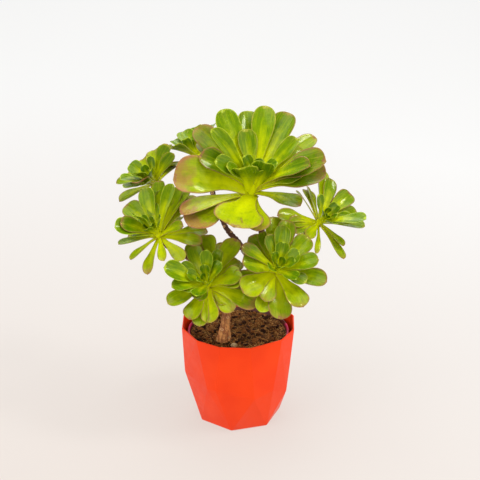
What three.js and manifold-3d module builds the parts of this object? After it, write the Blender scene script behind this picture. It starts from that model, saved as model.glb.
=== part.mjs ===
// Potted aeonium: a branching succulent with seven leaf rosettes. It grows in a round nursery pot of
// soil, which stands inside a faceted orange-red cover pot.
// Millimetres, +Z up. The origin is the centre of the cover pot's underside and the front is -Y.
// Angles round the plant are in degrees from the front, and grow towards +X.

import * as THREE from 'three';
import { ConvexGeometry } from 'three/addons/geometries/ConvexGeometry.js';
import { mergeVertices } from 'three/addons/utils/BufferGeometryUtils.js';
import Module from 'manifold-3d';

const wasm = await Module();
wasm.setup();

// ---- Driving dimensions ----------------------------------------------------------------------

const GAP = 0.3; // clearance between pieces that rest on each other

const COVER = {
  height: 123,
  rimRadius: 70,
  baseRadius: 51.4,
  wall: 2.4,
  floor: 3,
  overshoot: 5, // the hollow is cut on past the rim by this much
  rimCorners: [-76, -45, -18, 12, 47, 73, 104, 134, 164, 194, 224, 254],
  baseCorners: 7,
  baseTurn: -61,
  // the facets break at these corners: angle, height, radius
  waist: [
    [-77, 63, 67], [-35, 60, 65.5], [-24.5, 60.5, 65.5], [17, 50, 65], [39.5, 56, 65.5],
    [67, 81, 66.5], [62.5, 44, 65.5], [103, 58, 66], [128, 66, 66], [152, 52, 65.5],
    [178, 64, 66], [205, 54, 65.5], [232, 66, 66], [257, 56, 65.5],
  ],
};

const NURSERY = {
  bottom: COVER.floor + GAP,
  rim: 113,
  bottomRadius: 42,
  topRadius: 60.2,
  lipRadius: 61.4,
  lipHeight: 5,
  wall: 1,
  segments: 32,
  drainHoles: 6,
  drainRadius: 4,
  drainSides: 12,
  drainCircle: 26,
  drainCut: 4, // length of the cut for a hole, in wall thicknesses
};

const SOIL = {
  level: 107.8,
  lump: 1.6, // highest lumps above the level
  waves: [0.11, 0.19, 0.31], // pitch of each wave that makes the lumps, in radians per mm
  rings: [1, 0.86, 0.66, 0.46, 0.26, 0.1], // rings of its top, as shares of its radius
  seed: 11,
};

// raised: height of the pebble's middle above the soil, as a share of its own half height
const PEBBLE = { radius: 3.6, long: 1.1, squash: 0.8, raised: 0.6, x: -5.2, y: -34, detail: 2 };

// The trunk stands in a plain hole in the soil. Its seven flats leave a little more room than GAP.
const TRUNK = {
  foot: new THREE.Vector2(-16, -19.5), radius: 7.4, depth: 34, rootTop: 110, rootTaper: 0.8, hole: 8.1,
  holeSides: 16,
};

const LEAF = {
  broadest: 0.77, // share of its length where a leaf is broadest
  swell: 1.6, // how late it broadens
  tip: 2.6, // how blunt its tip is
  channel: 0.22, // its margins are raised by this share of its half width
  rootThick: 1.2, // thickness at its root and at its tip, as shares of the rosette's
  tipThick: 0.6,
  bend: 18, // it opens this many degrees further at its tip than at its root
  flatOpen: 95, // a leaf that opens this far grows at the core's foot
  small: 56, // leaves up to this length have fewer cross-sections
};
// Cross-sections of a leaf, as shares of its length
const LARGE_STATIONS = [0, 0.35, 0.62, 0.82, 0.95];
const OLD_STATIONS = [0, 0.35, 0.66, 0.86, 0.96];
const SMALL_STATIONS = [0, 0.42, 0.75, 0.93];
const YOUNG_STATIONS = [0, 0.5, 0.88];

const GOLDEN_ANGLE = 137.508;
const GOLDEN_STEPS = 34; // steps tried for the leaves out of sight
const FIRST_STEP = 51; // turn of the first step, times the rosette's seed
const LAYER = 25; // leaves that open within this many degrees of each other share a layer
const BUD = { firstTurn: 40, turnPerSeed: 60, seat: 0.7 };
const SPREAD = { size: 0.12, open: 10 }; // how much the leaves out of sight differ

const TOP_SIZES = {
  coreRadius: 7, coreHeight: 24, rootStart: 4.5, waist: 0.32, thickness: 2.6, stations: LARGE_STATIONS,
  young: { count: 6, length: [36, 18], width: [22, 10], open: [30, 6] },
};
const SIDE_SIZES = {
  coreRadius: 4.6, coreHeight: 10, rootStart: 2.6, waist: 0.36, thickness: 2, stations: OLD_STATIONS,
  young: { count: 8, length: [33, 14], width: [18, 8], open: [52, 8] },
};
// The core that the leaves grow from: it reaches this far below the hub, and tapers to a low cone
const CORE = { skirt: 5, taper: 0.8, cone: 2, sides: 8 };

// Every rosette: hub and lean of its axis, then its full-grown leaves as
// [turn round the axis, opening from the axis, length, width, roll, own height on the core].
// The sides that stay out of sight get their leaves by the golden-angle rule.
const ROSETTES = [
  {
    name: 'rosette_top', hub: [16, 0, 289], lean: 20, toward: 20, sizes: TOP_SIZES, seed: 1,
    leaves: [
      [299, 91, 88, 30, 10], [310, 95, 88, 44, 5], [343, 88, 66, 58], [55, 75, 62, 27],
      [283, 74, 94, 46, -38], [72, 48, 98, 36, 25], [135, 70, 100, 22, 10], [231, 69, 96, 28, -25],
      [230, 75, 86, 28, -15], [254, 40, 82, 18, -50], [219, 49, 92, 33], [190, 55, 90, 30],
      [175, 50, 94, 28], [155, 55, 96, 31], [135, 55, 73, 18, 30], [200, 45, 63, 24], [155, 55, 70, 22],
      [70, 50, 66, 28, 20], [312, 25, 54, 31, 45, 3], [35, 14, 58, 27, -35, 3], [170, 60, 92, 20],
      [267, 58, 72, 26, -35], [130, 65, 74, 22, 25], [70, 55, 92, 38, 20],
      [145, 65, 58, 20], [185, 65, 62, 18], [205, 80, 60, 22], [220, 90, 56, 20], [65, 45, 82, 26, 15],
      [5, 90, 62, 34], [282, 47, 60, 22, -30], [291, 44, 48, 18, -20],
    ],
    unseen: { sectors: [[108, 268]], open: 88, length: 84, width: 34, apart: 26 },
  },
  {
    name: 'rosette_left', hub: [-91, -25, 246], lean: 36, toward: -55, sizes: SIDE_SIZES, seed: 2,
    leaves: [
      [290, 35, 52, 22, -35], [210, 60, 54, 24], [170, 50, 54, 22], [300, 55, 48, 14], [315, 75, 44, 12],
      [330, 100, 46, 16], [5, 90, 40, 12], [30, 115, 42, 16], [75, 80, 34, 18], [95, 120, 54, 20],
      [125, 90, 62, 22], [155, 60, 62, 22], [150, 115, 44, 16], [310, 5, 40, 20], [195, 70, 44, 20],
      [160, 85, 42, 18], [285, 30, 46, 20, -35], [150, 60, 50, 16], [140, 70, 55, 14, 50],
      [135, 75, 59, 14, 40], [130, 80, 62, 20], [65, 110, 50, 18], [165, 55, 33, 16], [122, 54, 60, 14, 45],
    ],
    unseen: { sectors: [[165, 265]], open: 88, length: 48, width: 22, apart: 28 },
  },
  {
    name: 'rosette_left_back', hub: [-97, 36, 288], lean: 40, toward: -50, sizes: SIDE_SIZES, seed: 3,
    leaves: [
      [195, 85, 44, 20], [175, 85, 50, 20], [150, 85, 52, 14], [195, 90, 36, 18], [290, 35, 42, 16],
      [310, 45, 42, 16], [295, 70, 46, 16], [325, 20, 36, 18], [160, 90, 48, 16], [340, 20, 36, 16],
      [185, 95, 40, 20], [155, 85, 52, 12, 50], [140, 110, 34, 12], [350, 35, 38, 22],
      [104, 51, 50, 16, 50], [90, 56, 48, 14, 55], [254, 66, 46, 12],
    ],
    unseen: { sectors: [[210, 285]], open: 74, length: 40, width: 20, apart: 28 },
  },
  {
    name: 'rosette_back', hub: [-46, 70, 306], lean: 30, toward: -130, sizes: SIDE_SIZES, seed: 4,
    leaves: [
      [145, 55, 56, 22], [170, 45, 50, 22], [195, 45, 50, 22], [220, 50, 46, 20], [325, 60, 44, 18],
      [160, 55, 40, 18], [185, 45, 50, 20],
    ],
    unseen: { sectors: [[60, 310]], open: 84, length: 46, width: 20, apart: 27 },
  },
  {
    name: 'rosette_front_left', hub: [-34, -52, 196], lean: 38, toward: -20, sizes: SIDE_SIZES, seed: 5,
    leaves: [
      [175, 75, 58, 24], [195, 75, 54, 22], [140, 80, 60, 24], [260, 45, 56, 24], [290, 50, 46, 18],
      [300, 70, 52, 22], [330, 85, 46, 22], [345, 90, 50, 20], [0, 90, 46, 22], [58, 92, 62, 25],
      [130, 100, 46, 28], [190, 90, 38, 18], [144, 56, 41, 15], [239, 47, 38, 18], [340, 65, 26, 16],
      [25, 95, 28, 16], [85, 70, 42, 26], [162, 35, 40, 16], [160, 90, 56, 14], [195, 60, 46, 20],
      [295, 50, 36, 22], [35, 95, 42, 20], [325, 65, 26, 14], [40, 95, 30, 18], [77, 71, 44, 24],
    ],
    unseen: { sectors: [[150, 255]], open: 108, length: 42, width: 20, apart: 28 },
  },
  {
    name: 'rosette_front_right', hub: [43, -48, 212], lean: 38, toward: 20, sizes: SIDE_SIZES, seed: 6,
    leaves: [
      [190, 75, 62, 24], [175, 65, 58, 22], [215, 95, 50, 22], [225, 105, 48, 28], [211, 51, 41, 16],
      [184, 50, 50, 20], [140, 65, 52, 24], [95, 50, 50, 22], [75, 70, 58, 25], [35, 80, 54, 26],
      [10, 95, 56, 28], [315, 85, 50, 30], [345, 85, 42, 20], [280, 65, 46, 26], [55, 60, 40, 18],
      [120, 35, 34, 18], [205, 80, 46, 22], [220, 85, 49, 20], [260, 60, 52, 18], [255, 75, 39, 20],
      [135, 85, 42, 24], [345, 95, 52, 20], [297, 97, 46, 26], [306, 105, 48, 22], [155, 80, 44, 16],
    ],
    unseen: { sectors: [[100, 210]], open: 108, length: 42, width: 20, apart: 28 },
  },
  {
    name: 'rosette_right', hub: [94, 5, 250], lean: 42, toward: 50, sizes: SIDE_SIZES, seed: 7,
    leaves: [
      [70, 35, 56, 22], [150, 65, 54, 22], [185, 65, 54, 18], [195, 70, 64, 16], [200, 100, 52, 16],
      [285, 95, 52, 20], [295, 95, 38, 18], [125, 70, 50, 18], [5, 95, 40, 8], [35, 80, 54, 14],
      [40, 70, 42, 12], [335, 85, 34, 14], [155, 70, 40, 16], [195, 80, 54, 12, 50],
      [215, 100, 50, 12, 40], [200, 95, 54, 12, 30], [130, 75, 38, 16], [305, 95, 40, 26],
      [80, 50, 51, 16], [160, 75, 30, 16],
    ],
    unseen: { sectors: [[108, 185]], open: 96, length: 46, width: 20, apart: 28 },
  },
];

// Branches: the points that each one passes before it turns up into its rosette, and its radii
const STEM_STRAIGHT = 18; // the last stretch of a branch runs along its rosette's axis
const BRANCHES = [
  { rosette: 'rosette_top', radii: [7.4, 4.6, 5.4], stations: 12, points: [
    [-16, -19.5, 109], [-15.5, -19, 128], [-12, -17, 148], [2, -10, 177], [21, 0, 203], [29, 8, 227],
    [24, 8, 250],
  ] },
  { rosette: 'rosette_back', radii: [4.2, 3.4, 3.8], stations: 8, points: [
    [17, -1, 199], [2, 10, 221], [-14, 18, 238], [-27, 32, 268],
  ] },
  { rosette: 'rosette_left_back', radii: [3.4, 2.8, 3.6], stations: 6, points: [
    [-20, 24, 252], [-40, 34, 254], [-65, 43, 254],
  ] },
  { rosette: 'rosette_left', radii: [4.2, 3.4, 3.8], stations: 7, points: [
    [-13, -17, 146], [-24, -14, 170], [-40, -8, 192], [-60, -8, 212],
  ] },
  { rosette: 'rosette_front_left', radii: [4.2, 3.6, 3.8], stations: 5, points: [
    [-14, -18, 138], [-20, -26, 158],
  ] },
  { rosette: 'rosette_front_right', radii: [4.2, 3.6, 3.8], stations: 5, points: [
    [0, -12, 172], [14, -19, 178],
  ] },
  { rosette: 'rosette_right', radii: [4.2, 3.4, 3.8], stations: 7, points: [
    [10, -5, 188], [30, 4, 202], [54, 10, 210],
  ] },
];
const STEM_SIDES = 7;

const PAINT = {
  cover: { color: 0xf24a24, roughness: 0.42 },
  nursery: { color: 0x5a1540, roughness: 0.45 },
  soil: { color: 0x3a2518, roughness: 1 },
  pebble: { color: 0xb9a27c, roughness: 0.8 },
  bark: { color: 0x6b4a38, roughness: 0.85 },
  leaf: { color: 0x7fa321, roughness: 0.38 },
};

// ---- Helpers ---------------------------------------------------------------------------------

const UP = new THREE.Vector3(0, 0, 1);

function seededRandom(seed) {
  let state = seed >>> 0;
  return () => {
    state = (Math.imul(state, 1664525) + 1013904223) >>> 0;
    return state / 4294967296;
  };
}

function aroundZ(degrees, radius, z) {
  const a = THREE.MathUtils.degToRad(degrees);
  return new THREE.Vector3(radius * Math.sin(a), -radius * Math.cos(a), z);
}

function leaningAxis(lean, toward) {
  const tilt = THREE.MathUtils.degToRad(lean);
  return aroundZ(toward, Math.sin(tilt), Math.cos(tilt));
}

function solid(geometry) {
  const bare = geometry.clone();
  bare.deleteAttribute('normal');
  bare.deleteAttribute('uv');
  const merged = mergeVertices(bare, 1e-4);
  return new wasm.Manifold(new wasm.Mesh({
    numProp: 3,
    vertProperties: new Float32Array(merged.attributes.position.array),
    triVerts: new Uint32Array(merged.index.array),
  }));
}

function joined(geometries) {
  return geometries.map(solid).reduce((whole, piece) => whole.add(piece));
}

function geometryOf(manifold) {
  const mesh = manifold.getMesh();
  const geometry = new THREE.BufferGeometry();
  geometry.setAttribute('position', new THREE.BufferAttribute(mesh.vertProperties, 3));
  geometry.setIndex(new THREE.BufferAttribute(mesh.triVerts, 1));
  geometry.computeVertexNormals();
  return geometry;
}

function turned(profile, segments) {
  const points = profile.map(([radius, z]) => new THREE.Vector2(radius, z));
  return new THREE.LatheGeometry(points, segments).rotateX(Math.PI / 2);
}

// Closed skin over rings of equal size. tip closes the last ring in a point, otherwise it is flat.
function skin(rings, diagonalsFlipped, tip) {
  const size = rings[0].length;
  const points = rings.flat();
  const triangles = [];
  for (let j = 0; j + 1 < rings.length; j++) {
    for (let k = 0; k < size; k++) {
      const a = j * size + k;
      const b = j * size + ((k + 1) % size);
      const c = a + size;
      const d = b + size;
      if (diagonalsFlipped[k]) triangles.push(a, c, b, c, d, b);
      else triangles.push(a, c, d, a, d, b);
    }
  }
  for (let k = 1; k + 1 < size; k++) triangles.push(0, k, k + 1);
  const last = (rings.length - 1) * size;
  if (tip) {
    const end = points.push(tip) - 1;
    for (let k = 0; k < size; k++) triangles.push(last + k, end, last + ((k + 1) % size));
  } else {
    for (let k = 1; k + 1 < size; k++) triangles.push(last, last + k + 1, last + k);
  }
  const geometry = new THREE.BufferGeometry().setFromPoints(points);
  geometry.setIndex(triangles);
  return geometry;
}

// ---- Cover pot -------------------------------------------------------------------------------

function coverCorners(inset, floor, rim) {
  const { height, rimRadius, baseRadius, baseCorners, baseTurn } = COVER;
  const flare = (rimRadius - baseRadius) / height;
  const rimRing = COVER.rimCorners.map((angle) =>
    aroundZ(angle, rimRadius - inset + flare * (rim - height), rim));
  const baseRing = Array.from({ length: baseCorners }, (_, k) =>
    aroundZ(baseTurn + (k * 360) / baseCorners, baseRadius - inset + flare * floor, floor));
  const waist = COVER.waist.map(([angle, z, radius]) => aroundZ(angle, radius - inset, z));
  return [...rimRing, ...waist, ...baseRing];
}

function coverPot() {
  const { height, wall, floor, overshoot } = COVER;
  const outside = solid(new ConvexGeometry(coverCorners(0, 0, height)));
  const inside = solid(new ConvexGeometry(coverCorners(wall, floor, height + overshoot)));
  return geometryOf(outside.subtract(inside));
}

// ---- Nursery pot, soil and pebble ------------------------------------------------------------

function nurseryInnerRadius(z) {
  const { bottom, rim, bottomRadius, topRadius, wall } = NURSERY;
  return bottomRadius + ((topRadius - bottomRadius) * (z - bottom)) / (rim - bottom) - wall;
}

function nurseryPot() {
  const { bottom, rim, bottomRadius, topRadius, lipRadius, lipHeight, wall, segments } = NURSERY;
  const shell = solid(turned([
    [0, bottom], [bottomRadius, bottom], [topRadius - wall / 2, rim - lipHeight],
    [lipRadius, rim - lipHeight], [lipRadius, rim], [nurseryInnerRadius(rim), rim],
    [nurseryInnerRadius(bottom + wall), bottom + wall], [0, bottom + wall],
  ], segments));
  const { drainHoles, drainRadius, drainSides, drainCircle, drainCut } = NURSERY;
  const holes = Array.from({ length: drainHoles }, (_, k) => {
    const place = aroundZ((k * 360) / drainHoles, drainCircle, bottom);
    return solid(new THREE.CylinderGeometry(drainRadius, drainRadius, drainCut * wall, drainSides)
      .rotateX(Math.PI / 2).translate(place.x, place.y, place.z));
  });
  return geometryOf(holes.reduce((pot, hole) => pot.subtract(hole), shell));
}

// Lumps of soil: three crossed waves with seeded phases
function soilWaves() {
  const random = seededRandom(SOIL.seed);
  return SOIL.waves.map((pitch) => {
    const heading = random() * Math.PI;
    return { x: pitch * Math.cos(heading), y: pitch * Math.sin(heading), phase: random() * 2 * Math.PI };
  });
}

function soilHeight(x, y) {
  const sum = soilWaves().reduce((total, w) => total + Math.sin(w.x * x + w.y * y + w.phase), 0);
  return SOIL.level + (SOIL.lump * sum) / 2;
}

function soilBody() {
  const low = NURSERY.bottom + NURSERY.wall + GAP;
  const outline = SOIL.rings.map((share) =>
    [share * (nurseryInnerRadius(SOIL.level) - GAP), SOIL.level]);
  const profile = [[0, low], [nurseryInnerRadius(low) - GAP, low], ...outline, [0, SOIL.level]];
  const geometry = turned(profile, NURSERY.segments);
  const position = geometry.attributes.position;
  const edge = (outline[0][0] + outline[1][0]) / 2; // the outermost ring stays level
  const halfway = (low + SOIL.level) / 2;
  for (let i = 0; i < position.count; i++) {
    const x = position.getX(i);
    const y = position.getY(i);
    const onTop = position.getZ(i) > halfway && Math.hypot(x, y) < edge;
    if (onTop) position.setZ(i, soilHeight(x, y));
  }
  const { foot, depth } = TRUNK;
  const hole = new THREE.CylinderGeometry(TRUNK.hole, TRUNK.hole, 2 * depth, TRUNK.holeSides)
    .rotateX(Math.PI / 2).translate(foot.x, foot.y, SOIL.level);
  const dimple = pebbleShape(GAP);
  return geometryOf(solid(geometry).subtract(solid(hole)).subtract(solid(dimple)));
}

function pebbleShape(grow) {
  const { radius, long, squash, raised, x, y, detail } = PEBBLE;
  const geometry = new THREE.IcosahedronGeometry(radius + grow, detail).scale(long, 1, squash);
  return geometry.translate(x, y, soilHeight(x, y) + radius * squash * raised);
}

// ---- Stems -----------------------------------------------------------------------------------

// Round stem along a curve: its radius runs through [start, middle, end]
function taperedStem(points, radii, stations) {
  const curve = new THREE.CatmullRomCurve3(points, false, 'centripetal');
  const frames = curve.computeFrenetFrames(stations, false);
  const taper = new THREE.QuadraticBezierCurve(
    new THREE.Vector2(0, radii[0]),
    new THREE.Vector2(0.5, 2 * radii[1] - (radii[0] + radii[2]) / 2),
    new THREE.Vector2(1, radii[2]),
  );
  const rings = frames.tangents.map((_, j) => {
    const centre = curve.getPointAt(j / stations);
    const radius = taper.getPoint(j / stations).y;
    return Array.from({ length: STEM_SIDES }, (_, k) => {
      const a = (k * 2 * Math.PI) / STEM_SIDES;
      return centre.clone()
        .addScaledVector(frames.normals[j], radius * Math.cos(a))
        .addScaledVector(frames.binormals[j], -radius * Math.sin(a));
    });
  });
  return skin(rings, new Array(STEM_SIDES).fill(false));
}

function stems() {
  const pieces = BRANCHES.map(({ rosette, radii, stations, points }) => {
    const { hub, lean, toward } = ROSETTES.find(({ name }) => name === rosette);
    const axis = leaningAxis(lean, toward);
    const along = (distance) => new THREE.Vector3(...hub).addScaledVector(axis, -distance);
    const route = points.map((point) => new THREE.Vector3(...point));
    return taperedStem([...route, along(STEM_STRAIGHT), along(CORE.skirt + GAP)], radii, stations);
  });
  const { foot, depth, radius, rootTop, rootTaper } = TRUNK;
  const low = SOIL.level - depth + GAP;
  const root = new THREE.CylinderGeometry(radius, radius * rootTaper, rootTop - low, STEM_SIDES)
    .rotateX(Math.PI / 2).translate(foot.x, foot.y, (rootTop + low) / 2);
  return geometryOf(joined([root, ...pieces]));
}

// ---- Rosettes --------------------------------------------------------------------------------

// Half width of a leaf at share s of its length: a spoon with a narrow root and a round tip
function spoon(s, waist) {
  const rise = Math.min(s / LEAF.broadest, 1) ** LEAF.swell;
  const body = waist + (1 - waist) * rise * rise * (3 - 2 * rise);
  const past = Math.max(0, (s - LEAF.broadest) / (1 - LEAF.broadest));
  return body * Math.sqrt(Math.max(0, 1 - past ** LEAF.tip));
}

// A leaf about its rosette's own axis (+Z, hub at 0). Its midrib is an arc that opens outwards, its
// margins are raised into a channel, and both faces are split into triangles alike.
function leafSkin([turn, open, length, width, roll = 0], rise, sizes, stations) {
  const outward = aroundZ(turn, 1, 0);
  const across = UP.clone().cross(outward);
  const bend = THREE.MathUtils.degToRad(LEAF.bend);
  const first = THREE.MathUtils.degToRad(open) - bend / 2;
  const arcRadius = length / (2 * Math.sin(bend / 2));
  const twist = THREE.MathUtils.degToRad(roll);
  const frameAt = (s) => {
    const angle = first + bend * s;
    const middle = outward.clone()
      .multiplyScalar(sizes.rootStart + arcRadius * (Math.cos(first) - Math.cos(angle)))
      .addScaledVector(UP, rise + arcRadius * (Math.sin(angle) - Math.sin(first)));
    const upper = UP.clone().multiplyScalar(Math.sin(angle)).addScaledVector(outward, -Math.cos(angle));
    return { middle, upper };
  };
  const rings = stations.map((s) => {
    const { middle, upper } = frameAt(s);
    const half = (spoon(s, sizes.waist) * width) / 2;
    const thick = sizes.thickness * THREE.MathUtils.lerp(LEAF.rootThick, LEAF.tipThick, s);
    const place = (share, lift) => middle.clone()
      .addScaledVector(across, half * share * Math.cos(twist))
      .addScaledVector(upper, half * share * Math.sin(twist) + half * LEAF.channel * share ** 2 + lift);
    return [place(-1, 0), place(0, thick / 2), place(1, 0), place(0, -thick / 2)];
  });
  return skin(rings, [false, false, true, false], frameAt(1).middle);
}

function insideSector(turn, [from, to]) {
  return (turn - from + 360) % 360 <= (to - from + 360) % 360;
}

function turnsApart(a, b) {
  return Math.abs(((a - b + 540) % 360) - 180);
}

// Leaves of the hidden side: golden-angle steps, kept where nothing as open stands near
function unseenLeaves({ leaves, unseen, seed }) {
  const random = seededRandom(seed);
  const low = leaves.filter(([, open]) => open > unseen.open - LAYER).map(([turn]) => turn);
  const grown = [];
  for (let k = 0; k < GOLDEN_STEPS; k++) {
    const turn = Math.round((seed * FIRST_STEP + k * GOLDEN_ANGLE) % 360);
    const wanted = unseen.sectors.some((sector) => insideSector(turn, sector));
    if (!wanted || low.some((other) => turnsApart(turn, other) < unseen.apart)) continue;
    low.push(turn);
    const vary = 1 + SPREAD.size * (random() - 0.5);
    const open = unseen.open + SPREAD.open * (random() - 0.5);
    grown.push([turn, open, unseen.length * vary, unseen.width * vary]);
  }
  return grown;
}

// Young leaves of the bud: one golden-angle step each, shorter and more upright towards the middle
function youngLeaves({ sizes, seed }) {
  const { count, length, width, open } = sizes.young;
  return Array.from({ length: count }, (_, k) => {
    const t = k / (count - 1);
    const between = ([outer, inner]) => THREE.MathUtils.lerp(outer, inner, t);
    const rise = sizes.coreHeight * THREE.MathUtils.lerp(BUD.seat, 1, t);
    const turn = BUD.firstTurn + seed * BUD.turnPerSeed + k * GOLDEN_ANGLE;
    return { leaf: [turn, between(open), between(length), between(width)], rise };
  });
}

function rosetteBody(rosette) {
  const { sizes, leaves } = rosette;
  const { coreRadius, coreHeight } = sizes;
  const core = turned([
    [0, -CORE.skirt], [coreRadius, -CORE.skirt], [coreRadius, 0],
    [coreRadius * CORE.taper, coreHeight], [0, coreHeight + CORE.cone],
  ], CORE.sides);
  const seat = ([, open, , , , own]) => own ?? coreHeight * Math.max(0, 1 - open / LEAF.flatOpen);
  const fineness = ([, , length]) => (length > LEAF.small ? sizes.stations : SMALL_STATIONS);
  const old = [...leaves, ...unseenLeaves(rosette)]
    .map((leaf) => leafSkin(leaf, seat(leaf), sizes, fineness(leaf)));
  const young = youngLeaves(rosette)
    .map(({ leaf, rise }) => leafSkin(leaf, rise, sizes, YOUNG_STATIONS));
  return geometryOf(joined([core, ...old, ...young]));
}

// ---- Assembly --------------------------------------------------------------------------------

function piece(name, geometry, { color, roughness }) {
  const material = new THREE.MeshStandardMaterial({ color, roughness, metalness: 0 });
  const mesh = new THREE.Mesh(geometry, material);
  mesh.name = name;
  return mesh;
}

const potted_aeonium = new THREE.Group();

potted_aeonium.add(piece('cover_pot', coverPot(), PAINT.cover));
potted_aeonium.add(piece('nursery_pot', nurseryPot(), PAINT.nursery));
potted_aeonium.add(piece('soil', soilBody(), PAINT.soil));
potted_aeonium.add(piece('pebble', pebbleShape(0), PAINT.pebble));
potted_aeonium.add(piece('stems', stems(), PAINT.bark));

for (const rosette of ROSETTES) {
  const mesh = piece(rosette.name, rosetteBody(rosette), PAINT.leaf);
  mesh.position.set(...rosette.hub);
  mesh.quaternion.setFromUnitVectors(UP, leaningAxis(rosette.lean, rosette.toward));
  potted_aeonium.add(mesh);
}

export default potted_aeonium;
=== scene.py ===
"""Potted aeonium: leaf rosettes on a branching stem, in soil, in a nursery pot, in a faceted cover pot.

The frame is in metres, +Z up, with its origin under the middle of the cover pot and the front at -Y.
The sizes below are in millimetres. Angles round the plant are in degrees from the front, and grow
towards +X.
"""

import math

import bmesh
import bpy
import numpy as np
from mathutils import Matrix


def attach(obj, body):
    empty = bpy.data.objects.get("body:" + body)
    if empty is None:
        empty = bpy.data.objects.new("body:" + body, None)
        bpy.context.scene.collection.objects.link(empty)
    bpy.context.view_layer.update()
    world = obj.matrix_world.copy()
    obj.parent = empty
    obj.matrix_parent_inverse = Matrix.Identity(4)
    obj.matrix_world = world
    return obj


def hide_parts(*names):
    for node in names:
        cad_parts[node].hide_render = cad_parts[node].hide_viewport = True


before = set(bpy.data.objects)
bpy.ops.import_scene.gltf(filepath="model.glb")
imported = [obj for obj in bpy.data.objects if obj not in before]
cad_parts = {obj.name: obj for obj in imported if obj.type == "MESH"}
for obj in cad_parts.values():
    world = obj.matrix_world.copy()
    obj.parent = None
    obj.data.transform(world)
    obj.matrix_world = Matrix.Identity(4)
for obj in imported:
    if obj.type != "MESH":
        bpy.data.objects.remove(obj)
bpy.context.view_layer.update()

bl_info = {
    "name": "Potted aeonium",
    "version": (1, 0, 0),
    "blender": (4, 5, 0),
    "location": "3D view > sidebar > Aeonium",
    "description": "Builds a potted aeonium around its solids, piece by piece",
    "category": "Add Mesh",
}

MM = 0.001

# ---- Sizes, as in the solids ---------------------------------------------------------------------

GAP = 0.3

SOIL = {"level": 107.8, "lump": 1.6, "waves": (0.11, 0.19, 0.31), "seed": 11, "radius": 58.0}
PEBBLE = {"radius": 3.6, "long": 1.1, "squash": 0.8, "raised": 0.6, "x": -5.2, "y": -34.0}
NURSERY = {
    "bottom": 3.3, "rim": 113.0, "bottom_radius": 42.0, "top_radius": 60.2, "lip_radius": 61.4,
    "lip_height": 5.0, "wall": 1.0, "drain_holes": 6, "drain_radius": 4.0, "drain_circle": 26.0,
}
TRUNK = {"x": -16.0, "y": -19.5, "radius": 7.4, "depth": 34.0, "root_taper": 0.8}

LEAF = {
    "broadest": 0.77, "swell": 1.6, "tip": 2.6, "channel": 0.22, "bend": 18.0, "flat_open": 95.0,
    "root_thick": 1.2, "tip_thick": 0.6,
}
GOLDEN_ANGLE = 137.508
GOLDEN_STEPS = 34
FIRST_STEP = 51
LAYER = 25
BUD = {"first_turn": 40, "turn_per_seed": 60, "seat": 0.7, "age": 0.25, "blush": 0.04}
SPREAD = {"size": 0.12, "open": 10}
CORE = {"skirt": 5.0, "cone": 2.0, "taper": 0.8}

TOP_SIZES = {
    "core_radius": 7.0, "core_height": 24.0, "root_start": 4.5, "waist": 0.32, "thickness": 2.6,
    "young": {"count": 6, "length": (36, 18), "width": (22, 10), "open": (30, 6)},
}
SIDE_SIZES = {
    "core_radius": 4.6, "core_height": 10.0, "root_start": 2.6, "waist": 0.36, "thickness": 2.0,
    "young": {"count": 8, "length": (33, 14), "width": (18, 8), "open": (52, 8)},
}

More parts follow.
